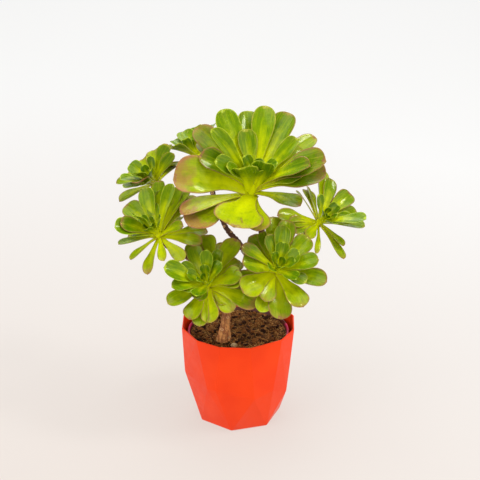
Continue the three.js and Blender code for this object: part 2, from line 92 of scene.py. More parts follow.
# Full-grown leaves: turn round the axis, opening from it, length, width, then roll, how far the tip
# has reddened (0 to 1, None: as its age says) and its height on the core (None: by its opening)
ROSETTES = [
    {
        "name": "rosette_top", "hub": (16, 0, 289), "lean": 20, "toward": 20,
        "sizes": TOP_SIZES, "seed": 1,
        "leaves": [
            (299, 91, 88, 30, 10, 0.9), (310, 95, 88, 44, 5, 0.9), (343, 88, 66, 58, 0, 0.45),
            (55, 75, 62, 27, 0, 0.4), (283, 74, 94, 46, -38, 0.8), (72, 48, 98, 36, 25, 0.5),
            (135, 70, 100, 22, 10), (231, 69, 96, 28, -25, 0.55), (230, 75, 86, 28, -15),
            (254, 40, 82, 18, -50, 0.1), (219, 49, 92, 33), (190, 55, 90, 30), (175, 50, 94, 28),
            (155, 55, 96, 31), (135, 55, 73, 18, 30), (200, 45, 63, 24), (155, 55, 70, 22),
            (70, 50, 66, 28, 20), (312, 25, 54, 31, 45, 0.1, 3), (35, 14, 58, 27, -35, 0.0, 3),
            (170, 60, 92, 20), (267, 58, 72, 26, -35, 0.4), (130, 65, 74, 22, 25),
            (70, 55, 92, 38, 20, 0.6), (145, 65, 58, 20), (185, 65, 62, 18), (205, 80, 60, 22),
            (220, 90, 56, 20), (65, 45, 82, 26, 15, 0.3), (5, 90, 62, 34, 0, 0.6),
            (282, 47, 60, 22, -30), (291, 44, 48, 18, -20),
        ],
        "unseen": {"sectors": [(108, 268)], "open": 88, "length": 84, "width": 34, "apart": 26},
    },
    {
        "name": "rosette_left", "hub": (-91, -25, 246), "lean": 36, "toward": -55,
        "sizes": SIDE_SIZES, "seed": 2,
        "leaves": [
            (290, 35, 52, 22, -35), (210, 60, 54, 24), (170, 50, 54, 22), (300, 55, 48, 14),
            (315, 75, 44, 12), (330, 100, 46, 16), (5, 90, 40, 12), (30, 115, 42, 16), (75, 80, 34, 18),
            (95, 120, 54, 20), (125, 90, 62, 22), (155, 60, 62, 22), (150, 115, 44, 16),
            (310, 5, 40, 20), (195, 70, 44, 20), (160, 85, 42, 18), (285, 30, 46, 20, -35, 0.5),
            (150, 60, 50, 16), (140, 70, 55, 14, 50), (135, 75, 59, 14, 40), (130, 80, 62, 20),
            (65, 110, 50, 18, 0, 0.6), (165, 55, 33, 16), (122, 54, 60, 14, 45),
        ],
        "unseen": {"sectors": [(165, 265)], "open": 88, "length": 48, "width": 22, "apart": 28},
    },
    {
        "name": "rosette_left_back", "hub": (-97, 36, 288), "lean": 40, "toward": -50,
        "sizes": SIDE_SIZES, "seed": 3,
        "leaves": [
            (195, 85, 44, 20), (175, 85, 50, 20), (150, 85, 52, 14), (195, 90, 36, 18),
            (290, 35, 42, 16), (310, 45, 42, 16), (295, 70, 46, 16), (325, 20, 36, 18),
            (160, 90, 48, 16), (340, 20, 36, 16), (185, 95, 40, 20), (155, 85, 52, 12, 50),
            (140, 110, 34, 12, 0, 0.7), (350, 35, 38, 22, 0, 0.95), (104, 51, 50, 16, 50),
            (90, 56, 48, 14, 55), (254, 66, 46, 12),
        ],
        "unseen": {"sectors": [(210, 285)], "open": 74, "length": 40, "width": 20, "apart": 28},
    },
    {
        "name": "rosette_back", "hub": (-46, 70, 306), "lean": 30, "toward": -130,
        "sizes": SIDE_SIZES, "seed": 4,
        "leaves": [
            (145, 55, 56, 22), (170, 45, 50, 22), (195, 45, 50, 22), (220, 50, 46, 20),
            (325, 60, 44, 18), (160, 55, 40, 18), (185, 45, 50, 20),
        ],
        "unseen": {"sectors": [(60, 310)], "open": 84, "length": 46, "width": 20, "apart": 27},
    },
    {
        "name": "rosette_front_left", "hub": (-34, -52, 196), "lean": 38, "toward": -20,
        "sizes": SIDE_SIZES, "seed": 5,
        "leaves": [
            (175, 75, 58, 24), (195, 75, 54, 22), (140, 80, 60, 24), (260, 45, 56, 24),
            (290, 50, 46, 18), (300, 70, 52, 22), (330, 85, 46, 22), (345, 90, 50, 20), (0, 90, 46, 22),
            (58, 92, 62, 25), (130, 100, 46, 28), (190, 90, 38, 18), (144, 56, 41, 15),
            (239, 47, 38, 18), (340, 65, 26, 16), (25, 95, 28, 16), (85, 70, 42, 26), (162, 35, 40, 16),
            (160, 90, 56, 14, 0, 0.7), (195, 60, 46, 20), (295, 50, 36, 22), (35, 95, 42, 20),
            (325, 65, 26, 14), (40, 95, 30, 18), (77, 71, 44, 24),
        ],
        "unseen": {"sectors": [(150, 255)], "open": 108, "length": 42, "width": 20, "apart": 28},
    },
    {
        "name": "rosette_front_right", "hub": (43, -48, 212), "lean": 38, "toward": 20,
        "sizes": SIDE_SIZES, "seed": 6,
        "leaves": [
            (190, 75, 62, 24), (175, 65, 58, 22), (215, 95, 50, 22), (225, 105, 48, 28),
            (211, 51, 41, 16), (184, 50, 50, 20), (140, 65, 52, 24), (95, 50, 50, 22), (75, 70, 58, 25),
            (35, 80, 54, 26), (10, 95, 56, 28), (315, 85, 50, 30), (345, 85, 42, 20), (280, 65, 46, 26),
            (55, 60, 40, 18), (120, 35, 34, 18), (205, 80, 46, 22), (220, 85, 49, 20),
            (260, 60, 52, 18, 0, 0.6), (255, 75, 39, 20), (135, 85, 42, 24),
            (345, 95, 52, 20, 0, 0.0), (297, 97, 46, 26), (306, 105, 48, 22), (155, 80, 44, 16),
        ],
        "unseen": {"sectors": [(100, 210)], "open": 108, "length": 42, "width": 20, "apart": 28},
    },
    {
        "name": "rosette_right", "hub": (94, 5, 250), "lean": 42, "toward": 50,
        "sizes": SIDE_SIZES, "seed": 7,
        "leaves": [
            (70, 35, 56, 22), (150, 65, 54, 22), (185, 65, 54, 18), (195, 70, 64, 16),
            (200, 100, 52, 16), (285, 95, 52, 20), (295, 95, 38, 18), (125, 70, 50, 18),
            (5, 95, 40, 8), (35, 80, 54, 14), (40, 70, 42, 12), (335, 85, 34, 14), (155, 70, 40, 16),
            (195, 80, 54, 12, 50), (215, 100, 50, 12, 40, 0.5), (200, 95, 54, 12, 30),
            (130, 75, 38, 16), (305, 95, 40, 26, 0, 0.6), (80, 50, 51, 16), (160, 75, 30, 16),
        ],
        "unseen": {"sectors": [(108, 185)], "open": 96, "length": 46, "width": 20, "apart": 28},
    },
]

# Branches: the radii at their start, middle and end, and points that they run through before the
# straight end below their rosette. The first is the trunk
STEM_STRAIGHT = 18.0
BRANCHES = [
    {"rosette": "rosette_top", "radii": (7.4, 4.6, 5.4), "points": [
        (-16, -19.5, 109), (-15.5, -19, 128), (-12, -17, 148), (2, -10, 177), (21, 0, 203), (29, 8, 227),
        (24, 8, 250)]},
    {"rosette": "rosette_back", "radii": (4.2, 3.4, 3.8), "points": [
        (17, -1, 199), (2, 10, 221), (-14, 18, 238), (-27, 32, 268)]},
    {"rosette": "rosette_left_back", "radii": (3.4, 2.8, 3.6), "points": [
        (-20, 24, 252), (-40, 34, 254), (-65, 43, 254)]},
    {"rosette": "rosette_left", "radii": (4.2, 3.4, 3.8), "points": [
        (-13, -17, 146), (-24, -14, 170), (-40, -8, 192), (-60, -8, 212)]},
    {"rosette": "rosette_front_left", "radii": (4.2, 3.6, 3.8), "points": [
        (-14, -18, 138), (-20, -26, 158)]},
    {"rosette": "rosette_front_right", "radii": (4.2, 3.6, 3.8), "points": [
        (0, -12, 172), (14, -19, 178)]},
    {"rosette": "rosette_right", "radii": (4.2, 3.4, 3.8), "points": [
        (10, -5, 188), (30, 4, 202), (54, 10, 210)]},
]

# ---- Fineness of the finished pieces: points along and round them --------------------------------

LEAF_STATIONS, LEAF_ROUND, CORE_ROUND = 26, 18, 28
CURVE_STEPS, STEM_SAMPLES, FOOT_SAMPLES, STEM_ROUND, STEM_VOXEL = 60, 160, 30, 20, 0.7
SOIL_RINGS, SOIL_ROUND = 90, 220
POT_ROUND, DRILL_ROUND = 96, 24
STRAND_POINTS, STRAND_ROUND = 9, 4
PEBBLE_RINGS, PEBBLE_ROUND = 26, 48

# ---- Detail that the solids leave out ------------------------------------------------------------

# Cover pot: points nearer than weld are one, faces within same_facet degrees make one facet, and
# edges sharper than round_from degrees are rounded
FACETS = {"weld": 0.01, "same_facet": 0.6, "round_from": 2.0, "round_steps": 3}

# Nursery pot: rings up its wall, every second one a shallow draw line, from first above the floor to
# below_lip, and how far the drill of a drain hole reaches above and below the underside
WALL = {"rings": 13, "draw_depth": 0.25, "first": 8.0, "below_lip": 1.2, "foot_round": 1.2}
DRILL_REACH = 3.0

# Layers of noise, as (height, size, seed)
SOIL_LUMPS = ((1.1, 9.0, 3), (0.8, 4.0, 4), (0.45, 1.8, 5))
PEBBLE_LUMPS = ((0.05, 1.6, 2), (0.03, 0.7, 6))
BARK_LUMPS = ((0.25, 2.2, 16), (0.35, 6.5, 17))
CORE_LUMPS = ((0.25, 2.0, 31),)

# Soil: a rise round the trunk, and an edge that the top settles to over these shares of the radius.
# The edge lies drop below the level in front, and rise_behind higher where it faces back
MOUND = {"height": 1.2, "reach": 4.0}
EDGE = {"settles": (0.90, 0.99), "drop": 0.5, "rise_behind": 2.0, "back": (0.0, 0.7), "foot_inset": 2.6}

# Crumbs and strands: a draw is (least, spread above it, power that makes large ones rare), and the
# insets keep them off the soil's edge. A strand follows its arch, a share of a half wave, as it rises
LOOSE_SEED = 21
KEPT_CLEAR = {"trunk": 2.5, "pebble": 1.0}
CRUMB = {
    "latitudes": (-50.0, -10.0, 25.0, 60.0), "around": 6, "size": (0.6, 2.1, 2.2),
    "sides": ((1.0, 0.8), (0.7, 0.5), (0.35, 0.5)), "rough": ((0.45, 0.8, 8),), "noise_shift": 50,
    "lift": 0.35, "inset": 2.5, "tone_power": 1.9, "palest": 1.25, "darker_per_mm": 0.3,
}
STRAND = {
    "length": (4, 13, 2), "thick": (0.16, 0.36, 2), "rise": (0, 2.6, 3), "arch": (0.6, 0.4),
    "tone": (0.35, 0.65), "bend": 6.0, "taper": 0.6, "clear": 0.25, "inset": 6.0, "rim_inset": 1.5,
}
RIBS = {"count": 8, "height": 0.02, "last_latitude": 86}

# Leaf scars: one oval each pitch along a stem, on a golden-angle spiral. The lip is highest at lip_at
# of the oval's half sizes, and each spread is the width of a bell curve in them
SCAR = {
    "pitch": 5.2, "half_height": 2.1, "half_width": 2.9, "lip": 0.42, "lip_at": 0.85,
    "lip_spread": 0.30, "dent": 0.22, "dent_spread": 0.5, "mark_spread": 0.62,
}

# Bark: its age falls from 1 at the soil over age_fade. Rings and flakes stand on it, and worn is
# taken off all over. Its lumps are this share of BARK_LUMPS on young bark and lumps_by_age more at
# the soil, where scar_wear of a scar is gone. The relief fades in over end_fade from a branch's end
BARK = {
    "age_fade": 38.0, "ring": 0.22, "ring_pitch": 4.6, "ring_wander": (2.0, 9.0, 14),
    "flake": 0.40, "flakes": (1.0, 3.4, 15), "flake_edge": (0.05, 0.22), "flake_stretch": (1, 1, 0.45),
    "worn": 0.35, "lumps": 0.5, "lumps_by_age": 0.7, "scar_wear": 0.3, "end_fade": (2.0, 7.0),
    "buried": 3.0,
}

# Forks: how far and how often each point moves to the middle of its neighbours
EASE = {"factor": 0.5, "times": 6}

# Foot of the trunk: lobes of old roots at the soil, a spread to the left, and a waist above them
FOOT = {
    "lobes": 3, "lobe": 1.5, "lobe_mean": 1.1, "lobe_swing": 0.7, "lobe_turn": 1.0, "lobe_below": 1.0,
    "lobe_fade": 3.5, "spread": 3.4, "spread_fade": 10.0, "waist": 0.7,
    "waist_from": (12.0, 26.0), "waist_to": (60.0, 40.0),
}

# How leaves differ: each leaf draws one value between these. A ripple is a share of the half width, a
# curl or sway of the length, a dent of the width, and ripples counts the waves along a side
LEAF_SEED = 100
LEAF_VARY = {
    "lopsided": (-0.07, 0.07), "channel": (0.75, 1.3), "ripples": (1.2, 2.4), "phase": (0, 6.28),
    "ripple": (0.03, 0.10), "curl": (-0.045, 0.035), "sway": (-0.018, 0.018), "dent": (-0.05, 0.09),
}
LEAF_APART = 37.0

# Form of the skins: pairs are a share at the root or in youth and what is added by the tip or by age
LEAF_FORM = {
    "channel": (0.7, 0.8), "tip_edge": 7, "young_to": 0.3, "young_thin": 0.85, "keel": 0.5,
    "ripple": (0.4, 0.6), "ripple_to_margin": 3, "curl_from": 0.6,
}
NIB = {"length": 0.5, "from_age": 0.2}
BLUSH = {"most": 0.75, "least_share": 0.45}
CORE_LOOK = {"along": 0.05, "across": 0.0, "age": 0.6, "blush": 0.1, "tone": 0.6}

# ---- Stage ---------------------------------------------------------------------------------------

# Lamps: name, place, aim and diameter in metres, power in watts, tint
MIDDLE = (0.0, 0.0, 0.2)
WHITE, WARM, COOL = (1.0, 1.0, 1.0), (1.0, 0.985, 0.96), (0.98, 0.99, 1.0)
LAMPS = [
    ("overhead", (-0.2, 0.0, 2.1), MIDDLE, 2.2, 37.0, WHITE),
    ("backdrop", (0.0, 2.6, 2.0), (0.0, 2.2, 0.0), 2.4, 31.5, WHITE),
    ("key_right", (1.13, -0.30, 1.75), MIDDLE, 0.42, 16.0, WARM),
    ("front_fill", (0.3, -2.2, 0.9), MIDDLE, 1.4, 11.5, WHITE),
    ("side_right", (1.7, -0.9, 0.8), MIDDLE, 1.8, 11.0, WARM),
    ("fill_left", (-1.4, -1.0, 1.0), MIDDLE, 1.6, 16.0, COOL),
]
STUDIO = {"tint": (1.0, 0.99, 0.985, 1.0), "strength": 0.22}
FLOOR_REACH = 9000.0
CAMERA = {"sensor": 36.0, "sees_to": 50.0}


# ---- Settings ------------------------------------------------------------------------------------

def colour(name, description, value):
    return bpy.props.FloatVectorProperty(
        name=name, description=description, default=value, subtype="COLOR", size=3, min=0.0, max=1.0)


def factor(name, description, value):
    return bpy.props.FloatProperty(
        name=name, description=description, default=value, min=0.0, max=1.0, subtype="FACTOR")


def amount(name, description, value):
    return bpy.props.IntProperty(name=name, description=description, default=value, min=0, max=4000)


def degrees_of(name, description, value):
    return bpy.props.FloatProperty(
        name=name, description=description, default=math.radians(value), subtype="ANGLE")


class AeoniumPot(bpy.types.PropertyGroup):
    """Sizes and colours of the two pots."""

    cover: colour("Cover pot", "Colour of the faceted moulding", (0.95, 0.056, 0.006))
    cover_shade: colour("Cover pot shade", "Colour of its slightly darker patches", (0.90, 0.046, 0.005))
    cover_edge: bpy.props.FloatProperty(
        name="Facet edge", description="Width of the rounding between two facets", default=0.0009,
        min=0.0, max=0.003, unit="LENGTH")
    cover_gloss: factor("Cover roughness", "Roughness of the moulded plastic", 0.40)
    nursery: colour("Nursery pot", "Colour of the thin inner pot", (0.620, 0.028, 0.110))


class AeoniumGround(bpy.types.PropertyGroup):
    """Colours and amounts of the soil and what lies on it."""

    dark: colour("Dark peat", "Colour of the moist peat", (0.022, 0.005, 0.001))
    light: colour("Light peat", "Colour of the dry crumbs", (0.270, 0.098, 0.022))
    fibre: colour("Fibre", "Colour of the coir strands", (0.620, 0.330, 0.110))
    pebble: colour("Pebble", "Colour of the pellet", (0.520, 0.360, 0.180))
    crumbs: amount("Crumbs", "Number of loose crumbs", 900)
    fibres: amount("Fibres", "Number of loose strands", 900)


class AeoniumPlant(bpy.types.PropertyGroup):
    """Colours of the bark and the leaves."""

    bark_light: colour("Dry bark", "Colour of the peeling bark", (0.720, 0.330, 0.100))
    bark_dark: colour("Young bark", "Colour of the dark upper stems", (0.060, 0.016, 0.010))
    lime: colour("Leaf root", "Colour of a leaf near its root", (0.600, 0.650, 0.002))
    green: colour("Leaf blade", "Colour of a grown blade", (0.120, 0.222, 0.001))
    ripe: colour("Old blade", "Colour of the oldest blades", (0.395, 0.465, 0.002))
    deep: colour("Young leaf", "Colour of the youngest blades", (0.058, 0.142, 0.001))
    blush: colour("Reddened tip", "Colour of an old leaf's tip", (0.350, 0.115, 0.065))
    margin: colour("Margin", "Colour of an old leaf's margin", (0.270, 0.100, 0.060))
    edge: colour("Young margin", "Colour of a young leaf's margin", (0.420, 0.520, 0.030))
    gloss: factor("Leaf roughness", "Roughness of the waxy blade", 0.27)


class AeoniumStage(bpy.types.PropertyGroup):
    """Camera, floor and light."""

    eye: bpy.props.FloatVectorProperty(
        name="Camera", description="Place of the camera", default=(0.0, -1.4, 0.8431), unit="LENGTH")
    pitch: degrees_of("Pitch", "Tilt of the camera from straight down", 66.38)
    yaw: degrees_of("Yaw", "Turn of the camera", -0.08)
    lens: bpy.props.FloatProperty(
        name="Lens", description="Focal length on a 36 mm sensor, in mm", default=97.2, min=1.0)
    sheet: colour("Floor", "Colour of the lit sheet that the pot stands on", (0.160, 0.154, 0.149))
    # The sheet's glow is painted light, which keeps the shadows faint
    near_glow: colour("Near glow", "Light that the sheet gives by the pot", (0.604, 0.536, 0.488))
    far_glow: colour("Far glow", "Light that the sheet gives far behind", (0.752, 0.756, 0.752))


# ---- Numbers -------------------------------------------------------------------------------------

def seeded_draws(seed):
    """Endless draws from 0 to 1: each state is 1664525 times the last one plus 1013904223, mod 2^32."""
    state = seed
    while True:
        state = (state * 1664525 + 1013904223) & 0xFFFFFFFF
        yield state / 4294967296


def vectors(x, y, z):
    """Points from their coordinates, each an array or one number."""
    return np.stack(np.broadcast_arrays(x, y, z), -1)


def around_z(degrees, radius, z):
    """Points at this heading from the front and this distance from the axis."""
    heading = np.radians(degrees)
    return vectors(radius * np.sin(heading), -radius * np.cos(heading), z)


def steps_round(count):
    """Evenly spaced headings of a full turn, in degrees."""
    return np.arange(count) * 360.0 / count


def ball_points(latitudes, around):
    """Rings of the unit ball at these latitudes in degrees, each with so many points."""
    latitude, turn = np.radians(latitudes)[:, None], np.radians(steps_round(around))
    return vectors(np.cos(latitude) * np.cos(turn), np.cos(latitude) * np.sin(turn), np.sin(latitude))


def leaning_axis(lean, toward):
    """The unit vector that leans this many degrees from +Z towards a heading."""
    tilt = math.radians(lean)
    return around_z(toward, math.sin(tilt), math.cos(tilt))


def smooth_step(low, high, value):
    """0 up to low and 1 from high, with 3t^2 - 2t^3 of the share t between them."""
    t = np.clip((value - low) / (high - low), 0, 1)
    return t * t * (3 - 2 * t)


def lattice_value(corner, seed):
    """A fixed value from 0 to 1 for each whole-numbered corner, from an integer hash."""
    h = (corner @ np.array([374761393, 668265263, 1103515245]) + seed * 1274126177) & 0xFFFFFFFF
    h = ((h ^ (h >> 13)) * 1274126177) & 0xFFFFFFFF
    return ((h ^ (h >> 16)) & 0xFFFF) / 65535.0


def lumpy(points, size, seed):
    """Value noise from -1 to 1: the values at the eight corners round a point of a lattice with this
    spacing, blended along each axis by 3t^2 - 2t^3."""
    place = np.asarray(points) / size
    base = np.floor(place).astype(np.int64)
    t = place - base
    t = t * t * (3 - 2 * t)
    total = 0.0
    for corner in np.ndindex(2, 2, 2):
        weight = np.prod(np.where(np.array(corner) == 1, t, 1 - t), axis=-1)
        total = total + weight * lattice_value(base + np.array(corner), seed)
    return 2 * total - 1


def lumps(points, layers, base=0.0):
    """The base plus lumpy of each (height, size, seed) layer times its height."""
    return sum((height * lumpy(points, size, seed) for height, size, seed in layers), base)


def drawn(rng, count, least, above, power=1):
    """Draws from least up to least plus above, crowded to the low end by the power."""
    return least + above * rng.rand(count) ** power


def apart(first, second):
    """The angle between two headings, 0 to 180 degrees."""
    return abs((first - second + 540) % 360 - 180)


def turn_to(axis):
    """The matrix that turns +Z to this axis the short way."""
    up = np.array([0.0, 0.0, 1.0])
    v = np.cross(up, axis)
    c = float(up @ axis)
    cross = np.array([[0, -v[2], v[1]], [v[2], 0, -v[0]], [-v[1], v[0], 0]])
    return np.eye(3) + cross + cross @ cross / (1 + c)


# ---- Meshes --------------------------------------------------------------------------------------

def closed_skins(grid, first, last):
    """Vertices and triangles of many closed skins of one layout.

    grid is (skin, ring, point round the ring, xyz). first and last are the (skin, xyz) poles that
    close each skin's two ends by a fan. Rings are joined by two triangles for each step round."""
    skins, rings, around, _ = grid.shape
    j, k = np.meshgrid(np.arange(rings - 1), np.arange(around), indexing="ij")
    a = (j * around + k).ravel()
    b = (j * around + (k + 1) % around).ravel()
    ring = np.arange(around)
    root, tip = rings * around, rings * around + 1
    last_ring = (rings - 1) * around
    faces = np.concatenate([
        np.stack([a, b, b + around], -1),
        np.stack([a, b + around, a + around], -1),
        np.stack([np.full(around, root), (ring + 1) % around, ring], -1),
        np.stack([np.full(around, tip), last_ring + ring, last_ring + (ring + 1) % around], -1),
    ])
    block = np.concatenate([grid.reshape(skins, -1, 3), first[:, None], last[:, None]], axis=1)
    size = block.shape[1]
    a, b, c = (block[0][faces[:, i]] for i in range(3))
    if np.einsum("ij,ij->i", a, np.cross(b, c)).sum() < 0:
        faces = faces[:, ::-1]
    all_faces = (faces[None] + (np.arange(skins) * size)[:, None, None]).reshape(-1, 3)
    return block.reshape(-1, 3), all_faces


def turned_skin(profile, around):
    """A profile of (radius, z) points carried round the axis, closed by its first and last point,
    which lie on the axis."""
    profile = np.asarray(profile, float)
    rings = around_z(steps_round(around)[None, :], profile[1:-1, 0, None], profile[1:-1, 1, None])
    poles = np.array([[0.0, 0.0, profile[0, 1]], [0.0, 0.0, profile[-1, 1]]])
    return closed_skins(rings[None], poles[None, 0], poles[None, 1])


def spin(grid, heading):
    """Turns each skin of a (skin, ring, point, xyz) grid about +Z by its own heading."""
    c, s = np.cos(heading)[:, None, None], np.sin(heading)[:, None, None]
    x, y, z = grid[..., 0], grid[..., 1], grid[..., 2]
    return vectors(c * x - s * y, s * x + c * y, z)


def mesh_object(name, points_mm, faces, material, attributes=()):
    """A smooth-shaded mesh in metres, with an attribute for each (name, values) pair."""
    mesh = bpy.data.meshes.new(name)
    sides = faces.shape[1]
    mesh.vertices.add(len(points_mm))
    mesh.vertices.foreach_set("co", (np.asarray(points_mm, np.float64) * MM).ravel())
    mesh.loops.add(faces.size)
    mesh.loops.foreach_set("vertex_index", faces.ravel().astype(np.int32))
    mesh.polygons.add(len(faces))
    mesh.polygons.foreach_set("loop_start", np.arange(0, faces.size, sides, dtype=np.int32))
    mesh.update(calc_edges=True)
    mesh.validate()
    mesh.shade_smooth()
    for label, values in attributes:
        add_attribute(mesh, label, values)
    mesh.materials.append(material)
    item = bpy.data.objects.new(name, mesh)
    bpy.context.scene.collection.objects.link(item)
    return item


def add_attribute(mesh, label, values):
    """One number or one vector for each vertex."""
    values = np.asarray(values, np.float32)
    if values.ndim == 2:
        mesh.attributes.new(label, "FLOAT_VECTOR", "POINT").data.foreach_set("vector", values.ravel())
    else:
        mesh.attributes.new(label, "FLOAT", "POINT").data.foreach_set("value", values)


def read_vectors(items, key):
    """This property of all the items, as rows of xyz."""
    values = np.empty(len(items) * 3, np.float32)
    items.foreach_get(key, values)
    return values.reshape(-1, 3)


def bake_modifiers(context, item):
    """The mesh that the modifiers give replaces the item's own, and they are removed."""
    context.view_layer.update()
    finished = bpy.data.meshes.new_from_object(item.evaluated_get(context.evaluated_depsgraph_get()))
    item.modifiers.clear()
    item.data = finished


def dress(piece, slot, *nodes):
    """The piece rides on the part's one body and stands for these solids. The slot is not used."""
    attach(piece, "root")
    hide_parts(*nodes)
    return piece


# ---- Materials -----------------------------------------------------------------------------------

class Finish:
    """A material in the making: its Principled shader, and short calls that add the nodes before it.
    Inputs are sockets, numbers or colours, by name or by place. Scales are per metre."""

    def __init__(self, name, **constants):
        self.material = bpy.data.materials.new(name)
        self.material.use_nodes = True
        self.tree = self.material.node_tree
        self.shader = self.tree.nodes["Principled BSDF"]
        self.put(self.shader, constants)

    def put(self, node, inputs):
        for key, value in inputs.items():
            socket = node.inputs[key]
            if isinstance(value, bpy.types.NodeSocket):
                self.tree.links.new(value, socket)
            elif socket.type == "RGBA" and len(value) == 3:
                socket.default_value = (*value, 1.0)
            else:
                socket.default_value = value

    def node(self, kind, inputs=None, **settings):
        made = self.tree.nodes.new(kind)
        for key, value in settings.items():
            setattr(made, key, value)
        self.put(made, inputs or {})
        return made

    def shade(self, **inputs):
        self.put(self.shader, {key.replace("_", " "): value for key, value in inputs.items()})

    def place(self):
        return self.node("ShaderNodeTexCoord").outputs["Object"]

    def attribute(self, name, output="Fac"):
        return self.node("ShaderNodeAttribute", attribute_name=name).outputs[output]

    def stretched(self, vector, scale):
        return self.node("ShaderNodeMapping", {"Vector": vector, "Scale": scale}).outputs[0]

    def noise(self, vector, scale, detail=3.0, roughness=0.55, swirl=0.0):
        inputs = {"Vector": vector, "Scale": scale, "Detail": detail, "Roughness": roughness,
                  "Distortion": swirl}
        return self.node("ShaderNodeTexNoise", inputs).outputs["Fac"]

    def cells(self, vector, scale):
        return self.node("ShaderNodeTexVoronoi", {"Vector": vector, "Scale": scale}).outputs["Distance"]

    def between(self, value, low, high, to_low=0.0, to_high=1.0):
        """to_low up to low and to_high from high, with a smooth step between them."""
        inputs = {0: value, 1: low, 2: high, 3: to_low, 4: to_high}
        return self.node("ShaderNodeMapRange", inputs, interpolation_type="SMOOTHSTEP").outputs[0]

    def clamped(self, operation, first, second):
        inputs = {0: first, 1: second}
        return self.node("ShaderNodeMath", inputs, operation=operation, use_clamp=True).outputs[0]

    def add(self, first, second):
        return self.clamped("ADD", first, second)

    def times(self, first, second):
        return self.clamped("MULTIPLY", first, second)

    def larger(self, first, second):
        return self.clamped("MAXIMUM", first, second)

    def mix(self, share, low, high):
        return self.node("ShaderNodeMix", {0: share, 6: low, 7: high}, data_type="RGBA").outputs[2]

    def bump(self, height, strength, distance, normal=None):
        inputs = {"Height": height, "Strength": strength, "Distance": distance}
        if normal is not None:
            inputs["Normal"] = normal
        return self.node("ShaderNodeBump", inputs).outputs[0]


def cover_plastic(settings):
    """Satin moulded plastic: faint mottling of the colour, a fine moulded grain and soft sink marks."""
    f = Finish("cover_plastic", IOR=1.48)
    f.shade(Specular_IOR_Level=0.3, Specular_Tint=(1.0, 0.6, 0.4))
    place = f.place()
    mottle = f.between(f.noise(place, 22.0, 2.0), 0.35, 0.65)
    f.shade(Base_Color=f.mix(mottle, settings.cover_shade, settings.cover))
    wear = f.noise(place, 160.0, 4.0)
    g = settings.cover_gloss
    f.shade(Roughness=f.between(wear, 0.3, 0.7, g - 0.05, g + 0.07))
    grain = f.bump(f.noise(place, 2600.0, 2.0), 0.10, 0.0001)
    f.shade(Normal=f.bump(f.noise(place, 28.0, 1.0), 0.06, 0.002, grain))
    return f.material


def nursery_plastic(settings):
    """Thin blow-moulded plastic: magenta violet, with faint draw lines up the wall and patches of
    dust. It turns dark brown over its back half and in a band on its wall, up to the lip's top."""
    dark_brown = (0.060, 0.022, 0.008)
    f = Finish("nursery_plastic", Roughness=0.38)
    f.shade(Specular_IOR_Level=0.25)
    place = f.place()
    lines = f.noise(f.stretched(place, (1.0, 1.0, 12.0)), 120.0, 3.0)
    dust = f.between(f.noise(place, 90.0, 5.0), 0.50, 0.72, 0.0, 0.2)
    metres = f.node("ShaderNodeSeparateXYZ", {"Vector": place}).outputs
    # Dark brown over the back half and in a band up the wall below the lip's top
    behind = f.between(metres["Y"], 0.004, 0.030)
    back_half_dark = f.between(f.add(behind, f.between(dust, 0.0, 0.2, 0.0, 0.3)), 0.35, 0.65)
    height = metres["Z"]
    wall_band_dark = f.times(f.between(height, 0.100, 0.105), f.between(height, 0.1095, 0.1118, 1.0, 0.0))
    darkening = f.times(f.larger(back_half_dark, wall_band_dark), 0.92)
    f.shade(Base_Color=f.mix(f.larger(dust, darkening), settings.nursery, dark_brown))
    f.shade(Normal=f.bump(lines, 0.15, 0.0003))
    return f.material


def peat(ground):
    """Fibrous peat: dark moist ground with drier patches, swirls and specks of fibre, by noise at
    three scales, on a bump of small cells."""
    f = Finish("peat", Roughness=0.92)
    f.shade(Specular_IOR_Level=0.15)
    place = f.place()
    patches = f.between(f.noise(place, 75.0, 5.0, 0.7), 0.44, 0.58)
    specks = f.between(f.noise(place, 620.0, 3.0, 0.7), 0.50, 0.66)
    swirls = f.between(f.noise(place, 170.0, 3.0, 0.6, 3.5), 0.48, 0.62)
    base = f.mix(patches, ground.dark, ground.light)
    base = f.mix(f.times(swirls, 0.65), base, ground.dark)
    f.shade(Base_Color=f.mix(f.times(specks, 0.8), base, ground.fibre))
    coarse = f.bump(f.cells(place, 380.0), 1.0, 0.0014)
    f.shade(Normal=f.bump(f.noise(place, 1500.0, 4.0, 0.7), 0.7, 0.0006, coarse))
    return f.material


def loose_peat(ground):
    """Crumbs and strands: each has its own tone between dark peat and dry fibre."""
    f = Finish("loose_peat", Roughness=0.85)
    f.shade(Specular_IOR_Level=0.15)
    tone = f.attribute("tone")
    place = f.place()
    base = f.mix(f.between(tone, 0.0, 0.6), ground.dark, ground.light)
    base = f.mix(f.between(tone, 0.55, 1.0), base, ground.fibre)
    speck = f.between(f.noise(place, 1300.0, 3.0), 0.4, 0.7, 0.0, 0.4)
    f.shade(Base_Color=f.mix(speck, base, ground.dark))
    f.shade(Normal=f.bump(f.noise(place, 2200.0, 3.0), 0.6, 0.0003))
    return f.material


def pellet(ground):
    """A pressed pellet: tan, with pale grains, brown stains and small pits."""
    pale_grain, stained = (0.66, 0.52, 0.32), (0.25, 0.13, 0.055)
    f = Finish("pellet", Roughness=0.72)
    place = f.place()
    grains = f.between(f.cells(place, 900.0), 0.0, 0.6)
    stain = f.between(f.noise(place, 260.0, 3.0), 0.4, 0.7, 0.0, 0.6)
    base = f.mix(grains, pale_grain, ground.pebble)
    f.shade(Base_Color=f.mix(stain, base, stained))
    f.shade(Normal=f.bump(f.cells(place, 700.0), 0.5, 0.0004))
    return f.material


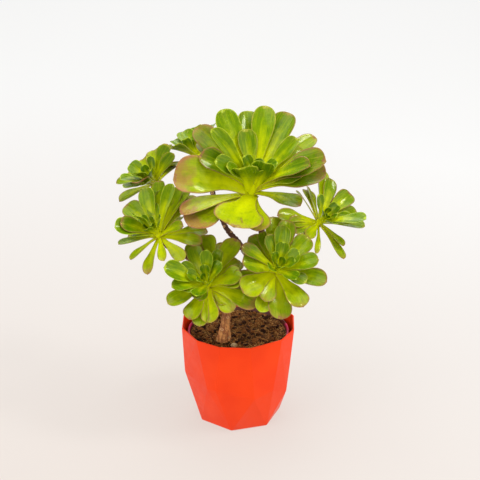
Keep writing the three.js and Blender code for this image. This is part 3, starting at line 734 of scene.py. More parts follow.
def bark(plant):
    """Peeling bark: dry tan flakes low on the trunk, purple-brown skin on the young stems, with pale
    rims round the leaf scars and fine cracks along the stem. The attributes age (1 at the soil) and
    scar (1 in the middle of one) drive it."""
    under_flakes, scar_rim, scar_middle = (0.330, 0.115, 0.035), (0.78, 0.48, 0.24), (0.42, 0.18, 0.07)
    young_brown, cracked = (0.14, 0.052, 0.026), (0.035, 0.014, 0.008)
    f = Finish("bark", Roughness=0.78)
    place = f.place()
    age, scar = f.attribute("age"), f.attribute("scar")
    flow = f.stretched(place, (1.0, 1.0, 0.35))
    flakes = f.between(f.noise(flow, 330.0, 5.0, 0.65), 0.42, 0.60)
    dry = f.mix(flakes, under_flakes, plant.bark_light)
    young = f.mix(f.noise(flow, 500.0, 4.0), plant.bark_dark, young_brown)
    base = f.mix(f.between(age, 0.05, 0.65), young, dry)
    rim = f.times(f.between(scar, 0.10, 0.40), f.between(scar, 0.60, 0.90, 1.0, 0.0))
    base = f.mix(f.times(rim, 0.9), base, scar_rim)
    base = f.mix(f.between(scar, 0.75, 1.0, 0.0, 0.6), base, scar_middle)
    along = f.stretched(place, (1.0, 1.0, 0.14))
    crack = f.between(f.noise(along, 900.0, 3.0), 0.28, 0.42, 0.65, 0.0)
    f.shade(Base_Color=f.mix(crack, base, cracked))
    coarse = f.bump(f.noise(flow, 420.0, 4.0, 0.6), 0.7, 0.0008)
    f.shade(Normal=f.bump(f.noise(place, 1900.0, 3.0), 0.4, 0.0003, coarse))
    return f.material


def leaf_skin(plant):
    """Waxy succulent skin. Lime at the leaf's root runs into green along the blade, the young leaves
    are deeper green, fine veins and mottling lie over it, and the margin and old tips redden.
    Attributes: along and across the leaf, age, blush and tone of each leaf, and leaf_place, which is
    a point's place on the flat leaf in metres."""
    f = Finish("leaf_skin")
    along, across = f.attribute("along"), f.attribute("across")
    age, blush, tone = f.attribute("age"), f.attribute("blush"), f.attribute("tone")
    flat = f.attribute("leaf_place", "Vector")

    # The grown blade's green, by age and tone
    grown = f.mix(f.between(age, 0.0, 0.55), plant.deep, plant.green)
    grown = f.mix(f.between(age, 0.55, 1.0, 0.0, 0.75), grown, plant.ripe)
    grown = f.mix(f.between(tone, 0.0, 0.7, 0.60, 0.0), grown, plant.deep)

    # Lime at the root gives way to it, later at the margins and unevenly
    mottle = f.noise(flat, 150.0, 3.0, 0.55)
    reach = f.add(along, f.between(mottle, 0.3, 0.7, -0.05, 0.05))
    reach = f.add(reach, f.between(across, 0.0, 0.5, -0.14, 0.06))
    grown = f.mix(f.between(mottle, 0.46, 0.72, 0.0, 0.40), grown, plant.deep)
    base = f.mix(f.between(reach, 0.10, 0.82), plant.lime, grown)
    veins = f.noise(f.stretched(flat, (1.0, 0.05, 1.0)), 900.0, 3.0)
    base = f.mix(f.between(veins, 0.42, 0.75, 0.0, 0.24), base, plant.lime)

    # Tips and sides of reddened leaves
    patch = f.between(f.noise(flat, 110.0, 4.0, 0.6), 0.25, 0.75, -0.09, 0.09)
    early = f.between(blush, 0.35, 0.90, 0.0, 0.13)
    tip = f.between(f.add(f.add(along, patch), early), 0.82, 1.10)
    side = f.times(f.between(across, 0.68, 1.0, 0.0, 0.5), f.between(along, 0.3, 0.9))
    base = f.mix(f.times(f.add(tip, side), blush), base, plant.blush)

    # The thin line of the margin, slightly frayed
    frayed = f.between(f.noise(flat, 260.0, 2.0), 0.35, 0.65, -0.02, 0.02)
    at_side = f.between(f.add(across, frayed), 0.88, 0.97)
    at_end = f.between(f.add(along, frayed), 0.965, 0.99)
    rim = f.mix(f.between(blush, 0.05, 0.30), plant.edge, plant.margin)
    f.shade(Base_Color=f.mix(f.times(f.larger(at_side, at_end), 0.70), base, rim))

    g = plant.gloss
    f.shade(Roughness=f.between(mottle, 0.3, 0.7, g - 0.04, g + 0.08))
    skin = f.bump(f.noise(flat, 2600.0, 2.0), 0.10, 0.0002)
    waves = f.bump(f.noise(flat, 130.0, 2.0, 0.5), 0.35, 0.0020, skin)
    f.shade(Normal=f.bump(veins, 0.22, 0.0003, waves))
    f.shade(Subsurface_Weight=0.25, Subsurface_Radius=(0.9, 1.0, 0.05), Subsurface_Scale=0.0022)
    f.shade(Specular_IOR_Level=0.20, Specular_Tint=(1.0, 1.0, 0.15, 1.0))
    f.shade(Coat_Weight=0.30, Coat_Roughness=0.10, Coat_IOR=1.36)
    return f.material


def stage_floor(stage):
    """Plain pale floor, with painted light: the sheet glows by emission, so that the shadows stay faint,
    and the painted glow is warmer by the pot and brighter far behind it and to its right."""
    f = Finish("stage_floor", Roughness=0.9)
    f.shade(Specular_IOR_Level=0.1)
    metres = f.node("ShaderNodeSeparateXYZ", {"Vector": f.place()}).outputs
    # Painted light: the sheet's emitted glow lifts the shadows, and is warmer by the pot and brighter far
    # behind and to the right
    painted_glow_share = f.add(f.between(metres["Y"], -0.45, 1.5), f.between(metres["X"], -0.1, 0.45, 0.0, 0.25))
    f.shade(Base_Color=stage.sheet, Emission_Strength=1.0)
    f.shade(Emission_Color=f.mix(painted_glow_share, stage.near_glow, stage.far_glow))
    return f.material


# ---- Cover pot -----------------------------------------------------------------------------------

class AEONIUM_OT_cover_pot(bpy.types.Operator):
    """Cover pot: the solid's own facets, welded below the rim, with every edge rounded"""

    bl_idname = "aeonium.cover_pot"
    bl_label = "Cover pot"

    def execute(self, context):
        settings = context.scene.aeonium_pot
        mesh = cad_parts["cover_pot"].data.copy()
        mesh.name = "cover_pot_moulding"
        welded = bmesh.new()
        welded.from_mesh(mesh)
        weld = FACETS["weld"] * MM
        bmesh.ops.remove_doubles(welded, verts=welded.verts, dist=weld)
        rim = max(vertex.co.z for vertex in welded.verts)
        below_rim = [e for e in welded.edges if min(v.co.z for v in e.verts) < rim - weld]
        same_facet = math.radians(FACETS["same_facet"])
        bmesh.ops.dissolve_limit(welded, angle_limit=same_facet, verts=[], edges=below_rim)
        welded.to_mesh(mesh)
        welded.free()
        mesh.materials.clear()
        mesh.materials.append(cover_plastic(settings))
        mesh.shade_smooth()
        pot = bpy.data.objects.new(mesh.name, mesh)
        context.scene.collection.objects.link(pot)
        rounding = pot.modifiers.new("rounded_edges", "BEVEL")
        rounding.width = settings.cover_edge
        rounding.segments = FACETS["round_steps"]
        rounding.limit_method = "ANGLE"
        rounding.angle_limit = math.radians(FACETS["round_from"])
        rounding.harden_normals = True
        dress(pot, "cover_pot", "cover_pot")
        return {"FINISHED"}


# ---- Nursery pot ---------------------------------------------------------------------------------

class AEONIUM_OT_nursery_pot(bpy.types.Operator):
    """Nursery pot: a turned wall with draw lines and a rolled lip, and drain holes in its floor"""

    bl_idname = "aeonium.nursery_pot"
    bl_label = "Nursery pot"

    def execute(self, context):
        points, faces = turned_skin(self.profile(), POT_ROUND)
        material = nursery_plastic(context.scene.aeonium_pot)
        pot = mesh_object("nursery_pot_shell", points, faces, material)
        drill = mesh_object("drill", *self.drill(), material)
        cut = pot.modifiers.new("drain_holes", "BOOLEAN")
        cut.operation = "DIFFERENCE"
        cut.object = drill
        bake_modifiers(context, pot)
        bpy.data.objects.remove(drill)
        dress(pot, "nursery_pot", "nursery_pot")
        return {"FINISHED"}

    def profile(self):
        """(radius, z) up the outside from the middle of the underside, over the lip and down inside."""
        n = NURSERY
        low, rim, wall, lip = n["bottom"], n["rim"], n["wall"], n["lip_radius"]
        step = rim - n["lip_height"]

        def outer(z):
            return n["bottom_radius"] + (n["top_radius"] - n["bottom_radius"]) * (z - low) / (rim - low)

        heights = np.linspace(low + WALL["first"], step - WALL["below_lip"], WALL["rings"])
        foot = WALL["foot_round"]
        return [
            (0, low), (n["bottom_radius"] - foot, low), (n["bottom_radius"], low + foot),
            *[(outer(z) - WALL["draw_depth"] * (i % 2), z) for i, z in enumerate(heights)],
            (outer(step) + 0.1, step - 0.4), (lip - 0.5, step), (lip, step + 0.5), (lip, rim - 0.9),
            (lip - 0.35, rim - 0.25), (lip - 1.0, rim), (outer(rim) - wall + 0.5, rim),
            (outer(rim) - wall, rim - 0.6), (outer(low + 3) - wall, low + 3),
            (outer(low) - wall - 1.5, low + wall), (0, low + wall),
        ]

    def drill(self):
        """A cylinder through the floor at each drain hole."""
        centres = around_z(steps_round(NURSERY["drain_holes"]), NURSERY["drain_circle"], NURSERY["bottom"])
        ring = around_z(steps_round(DRILL_ROUND), NURSERY["drain_radius"], 0.0)
        reach = np.array([0.0, 0.0, DRILL_REACH])
        ends = centres[:, None] + np.array([-reach, reach])
        return closed_skins(ends[:, :, None] + ring, ends[:, 0], ends[:, 1])


# ---- Soil ----------------------------------------------------------------------------------------

def soil_height(x, y):
    """The level plus three crossed sine waves with seeded headings and phases, as in the solid."""
    draw = seeded_draws(SOIL["seed"])
    total = 0.0
    for pitch in SOIL["waves"]:
        heading, phase = next(draw) * math.pi, next(draw) * 2 * math.pi
        total = total + np.sin(pitch * (x * math.cos(heading) + y * math.sin(heading)) + phase)
    return SOIL["level"] + SOIL["lump"] * total / 2


def soil_surface(x, y):
    """The solid's waves with finer lumps, and a low rise round the trunk."""
    fine = lumps(vectors(x, y, 0.0), SOIL_LUMPS)
    away = np.hypot(x - TRUNK["x"], y - TRUNK["y"]) - TRUNK["radius"]
    return soil_height(x, y) + fine + MOUND["height"] * np.exp(-np.maximum(away, 0) / MOUND["reach"])


class AEONIUM_OT_soil(bpy.types.Operator):
    """Soil: its lumpy top, the body below it, and loose crumbs and strands of coir"""

    bl_idname = "aeonium.soil"
    bl_label = "Soil"

    def execute(self, context):
        ground = context.scene.aeonium_ground
        self.body(ground)
        loose = loose_peat(ground)
        rng = np.random.RandomState(LOOSE_SEED)
        self.crumbs(ground.crumbs, loose, rng)
        self.strands(ground.fibres, loose, rng)
        return {"FINISHED"}

    def body(self, ground):
        """Rings of the top run from the wall to the middle, each point at soil_surface. The side
        follows the nursery pot's wall down to a flat underside."""
        low = NURSERY["bottom"] + NURSERY["wall"] + GAP
        share = 1 - np.arange(SOIL_RINGS) / SOIL_RINGS
        headings = steps_round(SOIL_ROUND)
        top = around_z(headings[None], SOIL["radius"] * share[:, None], 0.0)
        settle = smooth_step(*EDGE["settles"], share)[:, None]
        behind = smooth_step(*EDGE["back"], -np.cos(np.radians(headings)))
        edge = SOIL["level"] - EDGE["drop"] + EDGE["rise_behind"] * behind[None]
        top[..., 2] = soil_surface(top[..., 0], top[..., 1]) * (1 - settle) + edge * settle
        foot = np.array([[NURSERY["bottom_radius"] - EDGE["foot_inset"]]])
        grid = np.concatenate([around_z(headings[None], foot, low), top])
        middle = float(soil_surface(0.0, 0.0))
        points, faces = closed_skins(
            grid[None], np.array([[0.0, 0.0, low]]), np.array([[0.0, 0.0, middle]]))
        dress(mesh_object("soil_ground", points, faces, peat(ground)), "soil", "soil")

    def scatter(self, count, rng, reach):
        """Places on the soil, even over its disc, clear of the trunk and the pebble."""
        radius = reach * np.sqrt(rng.rand(count))
        place = around_z(rng.rand(count) * 360.0, radius, 0.0)
        away = np.hypot(place[:, 0] - TRUNK["x"], place[:, 1] - TRUNK["y"])
        clear = np.hypot(place[:, 0] - PEBBLE["x"], place[:, 1] - PEBBLE["y"])
        off_trunk = away > TRUNK["radius"] + KEPT_CLEAR["trunk"]
        place = place[off_trunk & (clear > PEBBLE["radius"] + KEPT_CLEAR["pebble"])]
        place[:, 2] = soil_surface(place[:, 0], place[:, 1])
        return place

    def crumbs(self, count, material, rng):
        """Each crumb is a small ball, squashed to chip or lump, its radius changed by noise. Large
        crumbs are darker."""
        place = self.scatter(count, rng, SOIL["radius"] - CRUMB["inset"])
        n = len(place)
        ball = ball_points(CRUMB["latitudes"], CRUMB["around"])[None]
        size = drawn(rng, n, *CRUMB["size"])
        stretch = size[:, None] * np.stack([drawn(rng, n, *side) for side in CRUMB["sides"]], -1)
        shifts = rng.rand(n, 1, 1, 3) * CRUMB["noise_shift"]
        rough = lumps(ball + shifts, CRUMB["rough"])[..., None]
        shape = ball * (1 + rough) * stretch[:, None, None]
        poles = np.array([[0, 0, -1.0], [0, 0, 1.0]])
        ends = poles[None] * stretch[:, None]
        heading = rng.rand(n) * 2 * math.pi
        lifted = place + vectors(0.0, 0.0, stretch[:, 2] * CRUMB["lift"])
        shape = spin(shape, heading) + lifted[:, None, None]
        ends = spin(ends[:, :, None], heading)[:, :, 0] + lifted[:, None]
        points, faces = closed_skins(shape, ends[:, 0], ends[:, 1])
        tone = rng.rand(n) ** CRUMB["tone_power"] * (CRUMB["palest"] - CRUMB["darker_per_mm"] * size)
        tone = np.repeat(tone, len(points) // n)
        piece = mesh_object("soil_crumbs", points, faces, material, [("tone", tone)])
        dress(piece, "soil", "soil")

    def strands(self, count, material, rng):
        """Each strand is a thin tube along an arc that lies over the lumps and lifts a little at its
        middle or its end."""
        place = self.scatter(count, rng, SOIL["radius"] - STRAND["inset"])
        n = len(place)
        t = np.linspace(0, 1, STRAND_POINTS)[None]
        length = drawn(rng, n, *STRAND["length"])[:, None]
        heading = (rng.rand(n) * 2 * math.pi)[:, None]
        bend = ((rng.rand(n) - 0.5) * STRAND["bend"])[:, None]
        angle = heading + bend * (t - 0.5)
        x = place[:, :1] + np.cumsum(np.cos(angle), 1) * length / STRAND_POINTS
        y = place[:, 1:2] + np.cumsum(np.sin(angle), 1) * length / STRAND_POINTS
        reach = SOIL["radius"] - STRAND["rim_inset"]
        inside = np.minimum(1.0, reach / np.maximum(np.hypot(x, y), 1.0))
        x, y = x * inside, y * inside
        lift = drawn(rng, n, *STRAND["rise"])[:, None]
        rise = lift * np.sin(math.pi * t * drawn(rng, n, *STRAND["arch"])[:, None])
        centre = vectors(x, y, soil_surface(x, y) + STRAND["clear"] + rise)
        thick = drawn(rng, n, *STRAND["thick"])[:, None] * (1 - STRAND["taper"] * t)
        side = vectors(-np.sin(angle), np.cos(angle), 0.0)
        turn = np.radians(steps_round(STRAND_ROUND))[None, None, :, None]
        ring = np.cos(turn) * side[:, :, None] + np.sin(turn) * np.array([0.0, 0.0, 1.0])
        grid = centre[:, :, None] + thick[..., None, None] * ring
        points, faces = closed_skins(grid, centre[:, 0], centre[:, -1])
        tone = np.repeat(drawn(rng, n, *STRAND["tone"]), len(points) // n)
        piece = mesh_object("soil_fibres", points, faces, material, [("tone", tone)])
        dress(piece, "soil", "soil")


class AEONIUM_OT_pebble(bpy.types.Operator):
    """Pebble: a squashed ball with shallow ribs from pole to pole and small pits"""

    bl_idname = "aeonium.pebble"
    bl_label = "Pebble"

    def execute(self, context):
        p = PEBBLE
        last = RIBS["last_latitude"]
        latitudes = np.linspace(-last, last, PEBBLE_RINGS)
        ball = ball_points(latitudes, PEBBLE_ROUND)
        turn = np.radians(steps_round(PEBBLE_ROUND))[None]
        ribs = RIBS["height"] * np.cos(RIBS["count"] * turn) * np.cos(np.radians(latitudes))[:, None]
        rough = lumps(ball * 4, PEBBLE_LUMPS, 1 + ribs)
        stretch = p["radius"] * np.array([p["long"], 1.0, p["squash"]])
        height = float(soil_height(p["x"], p["y"])) + p["radius"] * p["squash"] * p["raised"]
        centre = np.array([p["x"], p["y"], height])
        grid = ball * rough[..., None] * stretch + centre
        end = np.array([0, 0, p["radius"] * p["squash"]])
        points, faces = closed_skins(grid[None], (centre - end)[None], (centre + end)[None])
        piece = mesh_object("soil_pellet", points, faces, pellet(context.scene.aeonium_ground))
        dress(piece, "pebble", "pebble")
        return {"FINISHED"}


# ---- Stems ---------------------------------------------------------------------------------------

def curve_through(points):
    """Points along the centripetal Catmull-Rom curve through these points, evenly spaced.

    Between two points the curve is a cubic whose end slopes come from the neighbours' distances to
    the power 0.5. The ends are continued straight on."""
    p = np.asarray(points, float)
    p = np.concatenate([[2 * p[0] - p[1]], p, [2 * p[-1] - p[-2]]])
    gap = np.sqrt(np.linalg.norm(np.diff(p, axis=0), axis=1))[:, None]
    p0, p1, p2, p3 = p[:-3], p[1:-2], p[2:-1], p[3:]
    d0, d1, d2 = gap[:-2], gap[1:-1], gap[2:]
    slope1 = ((p1 - p0) / d0 - (p2 - p0) / (d0 + d1) + (p2 - p1) / d1) * d1
    slope2 = ((p2 - p1) / d1 - (p3 - p1) / (d1 + d2) + (p3 - p2) / d2) * d1
    w = np.linspace(0, 1, CURVE_STEPS, endpoint=False)[:, None, None]
    dense = (p1 + slope1 * w + (-3 * p1 + 3 * p2 - 2 * slope1 - slope2) * w ** 2
             + (2 * p1 - 2 * p2 + slope1 + slope2) * w ** 3)
    dense = np.concatenate([dense.transpose(1, 0, 2).reshape(-1, 3), p[-2:-1]])
    length = np.concatenate([[0], np.cumsum(np.linalg.norm(np.diff(dense, axis=0), axis=1))])
    even = np.linspace(0, length[-1], STEM_SAMPLES)
    return np.stack([np.interp(even, length, dense[:, i]) for i in range(3)], -1), even


def stem_routes():
    """Each branch as its centre line, the distance along it and its radius, which runs through the
    branch's three radii by a parabola. The last route is the trunk's foot, down in the soil."""
    routes = []
    for branch in BRANCHES:
        rosette = next(r for r in ROSETTES if r["name"] == branch["rosette"])
        axis = leaning_axis(rosette["lean"], rosette["toward"])
        ends = [np.array(rosette["hub"]) - d * axis for d in (STEM_STRAIGHT, CORE["skirt"] + GAP)]
        centre, along = curve_through([*branch["points"], *ends])
        t = along / along[-1]
        start, middle, end = branch["radii"]
        control = 2 * middle - (start + end) / 2
        radius = start * (1 - t) ** 2 + 2 * control * t * (1 - t) + end * t ** 2
        routes.append((centre, along, radius))
    foot_top = BRANCHES[0]["points"][0][2]
    foot_z = np.linspace(SOIL["level"] - TRUNK["depth"] + GAP, foot_top, FOOT_SAMPLES)
    foot = vectors(TRUNK["x"], TRUNK["y"], foot_z)
    t = (foot_z - foot_z[0]) / (foot_z[-1] - foot_z[0])
    foot_radius = TRUNK["radius"] * (TRUNK["root_taper"] + (1 - TRUNK["root_taper"]) * t)
    routes.append((foot, foot_z - foot_z[-1], foot_radius))
    return routes


def square_to(centre):
    """Along a centre line: its unit tangent, and that crossed with +Y, which is square to it."""
    tangent = np.gradient(centre, axis=0)
    tangent /= np.linalg.norm(tangent, axis=1, keepdims=True)
    return tangent, np.cross(tangent, [0.0, 1.0, 0.0])


def tube_grid(centre, radius, around):
    """Rings round a centre line, each square to the line."""
    tangent, side = square_to(centre)
    side /= np.linalg.norm(side, axis=1, keepdims=True)
    other = np.cross(tangent, side)
    turn = np.arange(around) * 2 * math.pi / around
    ring = np.cos(turn)[None, :, None] * side[:, None] + np.sin(turn)[None, :, None] * other[:, None]
    return centre[:, None] + radius[:, None, None] * ring


def nearest_on_routes(points, routes):
    """For each point: the route that it lies nearest to, the distance along it and the turn round it,
    from every second point of the route's centre line."""
    best = np.full(len(points), np.inf)
    route, along, turn = (np.zeros(len(points)) for _ in range(3))
    for index, (centre, length, radius) in enumerate(routes):
        gap = np.linalg.norm(points[:, None] - centre[None, ::2], axis=2)
        step = gap.argmin(1)
        reach = gap[np.arange(len(points)), step] - radius[::2][step]
        closer = reach < best
        offset = points - centre[::2][step]
        tangent, side = (line[::2][step] for line in square_to(centre))
        exact = length[::2][step] + np.einsum("ij,ij->i", offset, tangent)
        other = np.cross(tangent, side)
        heading = np.arctan2(np.einsum("ij,ij->i", offset, other), np.einsum("ij,ij->i", offset, side))
        best = np.where(closer, reach, best)
        route = np.where(closer, index, route)
        along = np.where(closer, exact, along)
        turn = np.where(closer, heading, turn)
    return route.astype(int), along, turn


def leaf_scars(along, turn, radius):
    """Height and mark of the scars that fallen leaves leave. A scar is a flat oval with a raised lip:
    at d of its half sizes, one bell curve round lip_at less another round 0."""
    pitch = SCAR["pitch"]
    number = np.round(along / pitch)
    height = np.zeros_like(along)
    mark = np.zeros_like(along)
    for step in (-2, -1, 0, 1, 2):
        k = number + step
        facing = np.radians((k * GOLDEN_ANGLE) % 360.0)
        swing = np.angle(np.exp(1j * (turn - facing))) * radius
        d = np.hypot((along - k * pitch) / SCAR["half_height"], swing / SCAR["half_width"])
        lip = SCAR["lip"] * np.exp(-((d - SCAR["lip_at"]) / SCAR["lip_spread"]) ** 2)
        height += lip - SCAR["dent"] * np.exp(-(d / SCAR["dent_spread"]) ** 2)
        mark = np.maximum(mark, np.exp(-(d / SCAR["mark_spread"]) ** 4))
    return height, mark


def foot_flare(above, turn, leftward):
    """How far the trunk swells: lobes at the soil and a spread to the left, which both fade upwards
    by e to the power minus height over fade, less a waist higher up."""
    lobes = FOOT["lobe_mean"] + FOOT["lobe_swing"] * np.cos(turn * FOOT["lobes"] + FOOT["lobe_turn"])
    over_lobes = np.maximum(above + FOOT["lobe_below"], 0)
    flare = FOOT["lobe"] * np.exp(-over_lobes / FOOT["lobe_fade"]) * lobes
    flare += FOOT["spread"] * leftward * np.exp(-np.maximum(above, 0) / FOOT["spread_fade"])
    waist = FOOT["waist"] * smooth_step(*FOOT["waist_from"], above)
    return flare - waist * smooth_step(*FOOT["waist_to"], above)


class AEONIUM_OT_stems(bpy.types.Operator):
    """Stems: the trunk and its branches grown together, with leaf scars and flaking bark"""

    bl_idname = "aeonium.stems"
    bl_label = "Stems"

    def execute(self, context):
        routes = stem_routes()
        skins, faces = [], []
        start = 0
        for centre, _, radius in routes:
            grid = tube_grid(centre, radius, STEM_ROUND)
            points, triangles = closed_skins(grid[None], centre[None, 0], centre[None, -1])
            skins.append(points)
            faces.append(triangles + start)
            start += len(points)
        material = bark(context.scene.aeonium_plant)
        stem = mesh_object("stem_bark", np.concatenate(skins), np.concatenate(faces), material)
        weld = stem.modifiers.new("grown_together", "REMESH")
        weld.mode = "VOXEL"
        weld.voxel_size = STEM_VOXEL * MM
        ease = stem.modifiers.new("eased_forks", "SMOOTH")
        ease.factor = EASE["factor"]
        ease.iterations = EASE["times"]
        bake_modifiers(context, stem)
        self.weather(stem.data, routes)
        dress(stem, "bark", "stems")
        return {"FINISHED"}

    def weather(self, mesh, routes):
        """Moves each point along its normal by scars, rings, flakes and lumps, and flares the foot.
        Scars wear off old bark, and flakes and lumps grow on it."""
        points = read_vectors(mesh.vertices, "co").astype(float) / MM
        normals = read_vectors(mesh.vertex_normals, "vector")
        route, along, turn = nearest_on_routes(points, routes)
        branches = routes[:len(BRANCHES)]
        mean_radii = [radius.mean() for _, _, radius in branches]
        radius = np.choose(np.minimum(route, len(BRANCHES) - 1), mean_radii)
        height, mark = leaf_scars(along, turn, radius)
        above = points[:, 2] - SOIL["level"]
        old = np.exp(-np.maximum(above, 0) / BARK["age_fade"])
        wander = lumps(points, [BARK["ring_wander"]])
        rings = BARK["ring"] * np.cos(2 * math.pi * along / BARK["ring_pitch"] + wander)
        flakes = lumps(points * BARK["flake_stretch"], [BARK["flakes"]])
        flakes = smooth_step(*BARK["flake_edge"], flakes)
        flare = foot_flare(above, turn, np.maximum(-normals[:, 0], 0))
        shift = height * (1 - BARK["scar_wear"] * old) + rings + BARK["flake"] * flakes * old
        rough = BARK["lumps"] + BARK["lumps_by_age"] * old
        shift = shift + lumps(points, BARK_LUMPS) * rough + flare - BARK["worn"]
        shift = np.where(above < -BARK["buried"], 0.0, shift)
        ends = np.array([centre[-1] for centre, _, _ in branches])
        clear = np.linalg.norm(points[:, None] - ends[None], axis=2).min(1)
        fade = smooth_step(*BARK["end_fade"], clear)
        points = points + normals * (shift * fade)[:, None]
        mesh.vertices.foreach_set("co", (points * MM).astype(np.float32).ravel())
        mesh.shade_smooth()
        mesh.update()
        add_attribute(mesh, "age", old)
        add_attribute(mesh, "scar", mark * fade)


# ---- Rosettes ------------------------------------------------------------------------------------

def unseen_leaves(rosette):
    """Leaves of the side that the front hides: golden-angle steps, kept where nothing as open is near."""
    unseen, seed = rosette["unseen"], rosette["seed"]
    draw = seeded_draws(seed)
    low = [leaf[0] for leaf in rosette["leaves"] if leaf[1] > unseen["open"] - LAYER]
    grown = []
    for k in range(GOLDEN_STEPS):
        turn = math.floor((seed * FIRST_STEP + k * GOLDEN_ANGLE) % 360 + 0.5)
        wanted = any((turn - a) % 360 <= (b - a) % 360 for a, b in unseen["sectors"])
        if not wanted or any(apart(turn, other) < unseen["apart"] for other in low):
            continue
        low.append(turn)
        vary = 1 + SPREAD["size"] * (next(draw) - 0.5)
        opening = unseen["open"] + SPREAD["open"] * (next(draw) - 0.5)
        grown.append((turn, opening, unseen["length"] * vary, unseen["width"] * vary))
    return grown


def leaf_table(rosette, rng):
    """All the leaves of a rosette as columns: turn, opening, length, width, roll, seat, age, blush.
    A leaf's age is its opening over the flat one, at most 1, and old leaves blush more."""
    core, young = rosette["sizes"]["core_height"], rosette["sizes"]["young"]
    rows = []
    for leaf in [*rosette["leaves"], *unseen_leaves(rosette)]:
        left_out = (0.0, None, None)[len(leaf) - 4:]
        turn, opening, length, width, roll, reddened, seat = (*leaf, *left_out)
        open_share = opening / LEAF["flat_open"]
        age = min(1.0, open_share)
        if reddened is None:
            steady = BLUSH["least_share"]
            reddened = BLUSH["most"] * age ** 2 * (steady + (1 - steady) * rng.rand())
        if seat is None:
            seat = core * max(0.0, 1 - open_share)
        rows.append((turn, opening, length, width, roll, seat, age, reddened))
    for k in range(young["count"]):
        t = k / (young["count"] - 1)
        opening, length, width = (np.interp(t, [0, 1], young[key]) for key in ("open", "length", "width"))
        turn = BUD["first_turn"] + rosette["seed"] * BUD["turn_per_seed"] + k * GOLDEN_ANGLE
        seat = core * (BUD["seat"] + (1 - BUD["seat"]) * t)
        rows.append((turn, opening, length, width, 0.0, seat, BUD["age"] * (1 - t), BUD["blush"]))
    return np.array(rows, float).T[:, :, None, None]


def spoon(s, waist):
    """Half width at share s of the length: a smooth rise from the waist to 1, then a blunt round tip."""
    rise = np.minimum(s / LEAF["broadest"], 1) ** LEAF["swell"]
    body = waist + (1 - waist) * rise * rise * (3 - 2 * rise)
    past = np.clip((s - LEAF["broadest"]) / (1 - LEAF["broadest"]), 0, 1)
    return body * np.sqrt(1 - past ** LEAF["tip"]), past


def leaf_skins(table, sizes, rng):
    """Closed skins of all the leaves, about the rosette's axis, with their attributes.

    Along a leaf, its midrib is an arc that opens outwards by the bend of LEAF. Round a section, the
    angle c gives the place across (v = cos c) and the face (sin c). A point is the midrib, plus across
    times the half width, plus upwards the channel (half width times v squared times the channel of
    LEAF, deeper towards the tip), a ripple that grows to the margin, a curl at the tip and half the
    thickness times the face. The last stations are dented or drawn out by a share of the width."""
    turn, opening, length, width, roll, seat, age, _ = table

    def each(key):
        low, high = LEAF_VARY[key]
        return (low + (high - low) * rng.rand(len(turn)))[:, None, None]

    s = (1 - (1 - np.arange(LEAF_STATIONS) / LEAF_STATIONS) ** 2)[None, :, None]
    c = (np.arange(LEAF_ROUND) * 2 * math.pi / LEAF_ROUND)[None, None, :]
    v, face = np.cos(c), np.sin(c)

    half, past = spoon(s, sizes["waist"])
    half = half * width / 2
    lopsided = 1 + each("lopsided") * np.sin(math.pi * s) * v
    shallow, deeper = LEAF_FORM["channel"]
    channel = LEAF["channel"] * each("channel") * (shallow + deeper * s)
    thick = sizes["thickness"] * (LEAF["root_thick"] + (LEAF["tip_thick"] - LEAF["root_thick"]) * s)
    thinner = np.where(age < LEAF_FORM["young_to"], LEAF_FORM["young_thin"], 1.0)
    thick = thick * np.sqrt(1 - past ** LEAF_FORM["tip_edge"]) * thinner
    keel = 1 + LEAF_FORM["keel"] * (1 - s) ** 2 * (1 - np.abs(v)) * (face < 0)
    pace, phase, other = each("ripples"), each("phase"), each("phase")
    wave = np.sin(2 * math.pi * pace * s + (phase * (1 + v) / 2 + other * (1 - v) / 2))
    calm, livelier = LEAF_FORM["ripple"]
    to_margin = np.abs(v) ** LEAF_FORM["ripple_to_margin"]
    ripple = half * each("ripple") * (calm + livelier * age) * to_margin * wave
    flat_to = LEAF_FORM["curl_from"]
    curl = length * each("curl") * np.clip((s - flat_to) / (1 - flat_to), 0, 1) ** 2
    sway = length * each("sway") * np.sin(math.pi * s)
    dent = width / length * each("dent") * np.clip(past * 1.25 - 0.25, 0, 1) * (1 - v ** 2) ** 2

    twist = np.radians(roll)
    sideways = half * v * lopsided * np.cos(twist) + sway
    upward = half * v * np.sin(twist) + half * channel * v ** 2 + ripple + curl + thick / 2 * face * keel

    bend = math.radians(LEAF["bend"])
    first = np.radians(opening) - bend / 2
    arc = length / (2 * math.sin(bend / 2))
    outward = around_z(turn, 1.0, 0.0)
    across = np.cross([0.0, 0.0, 1.0], outward)
    up = np.array([0.0, 0.0, 1.0])

    def place(share, sideways, upward):
        angle = first + bend * share
        reach = sizes["root_start"] + arc * (np.cos(first) - np.cos(angle))
        height = seat + arc * (np.sin(angle) - np.sin(first))
        upper = np.sin(angle)[..., None] * up - np.cos(angle)[..., None] * outward
        middle = reach[..., None] * outward + height[..., None] * up
        return middle + sideways[..., None] * across + upward[..., None] * upper

    grid = place(s - dent, sideways, upward)
    nib = NIB["length"] * (age > NIB["from_age"])
    tip = place(1 + nib / length, 0 * length, curl[:, -1:])[:, 0, 0]
    points, faces = closed_skins(grid, grid[:, 0].mean(1), tip)
    return points, faces, leaf_attributes(table, half, s, v, rng)


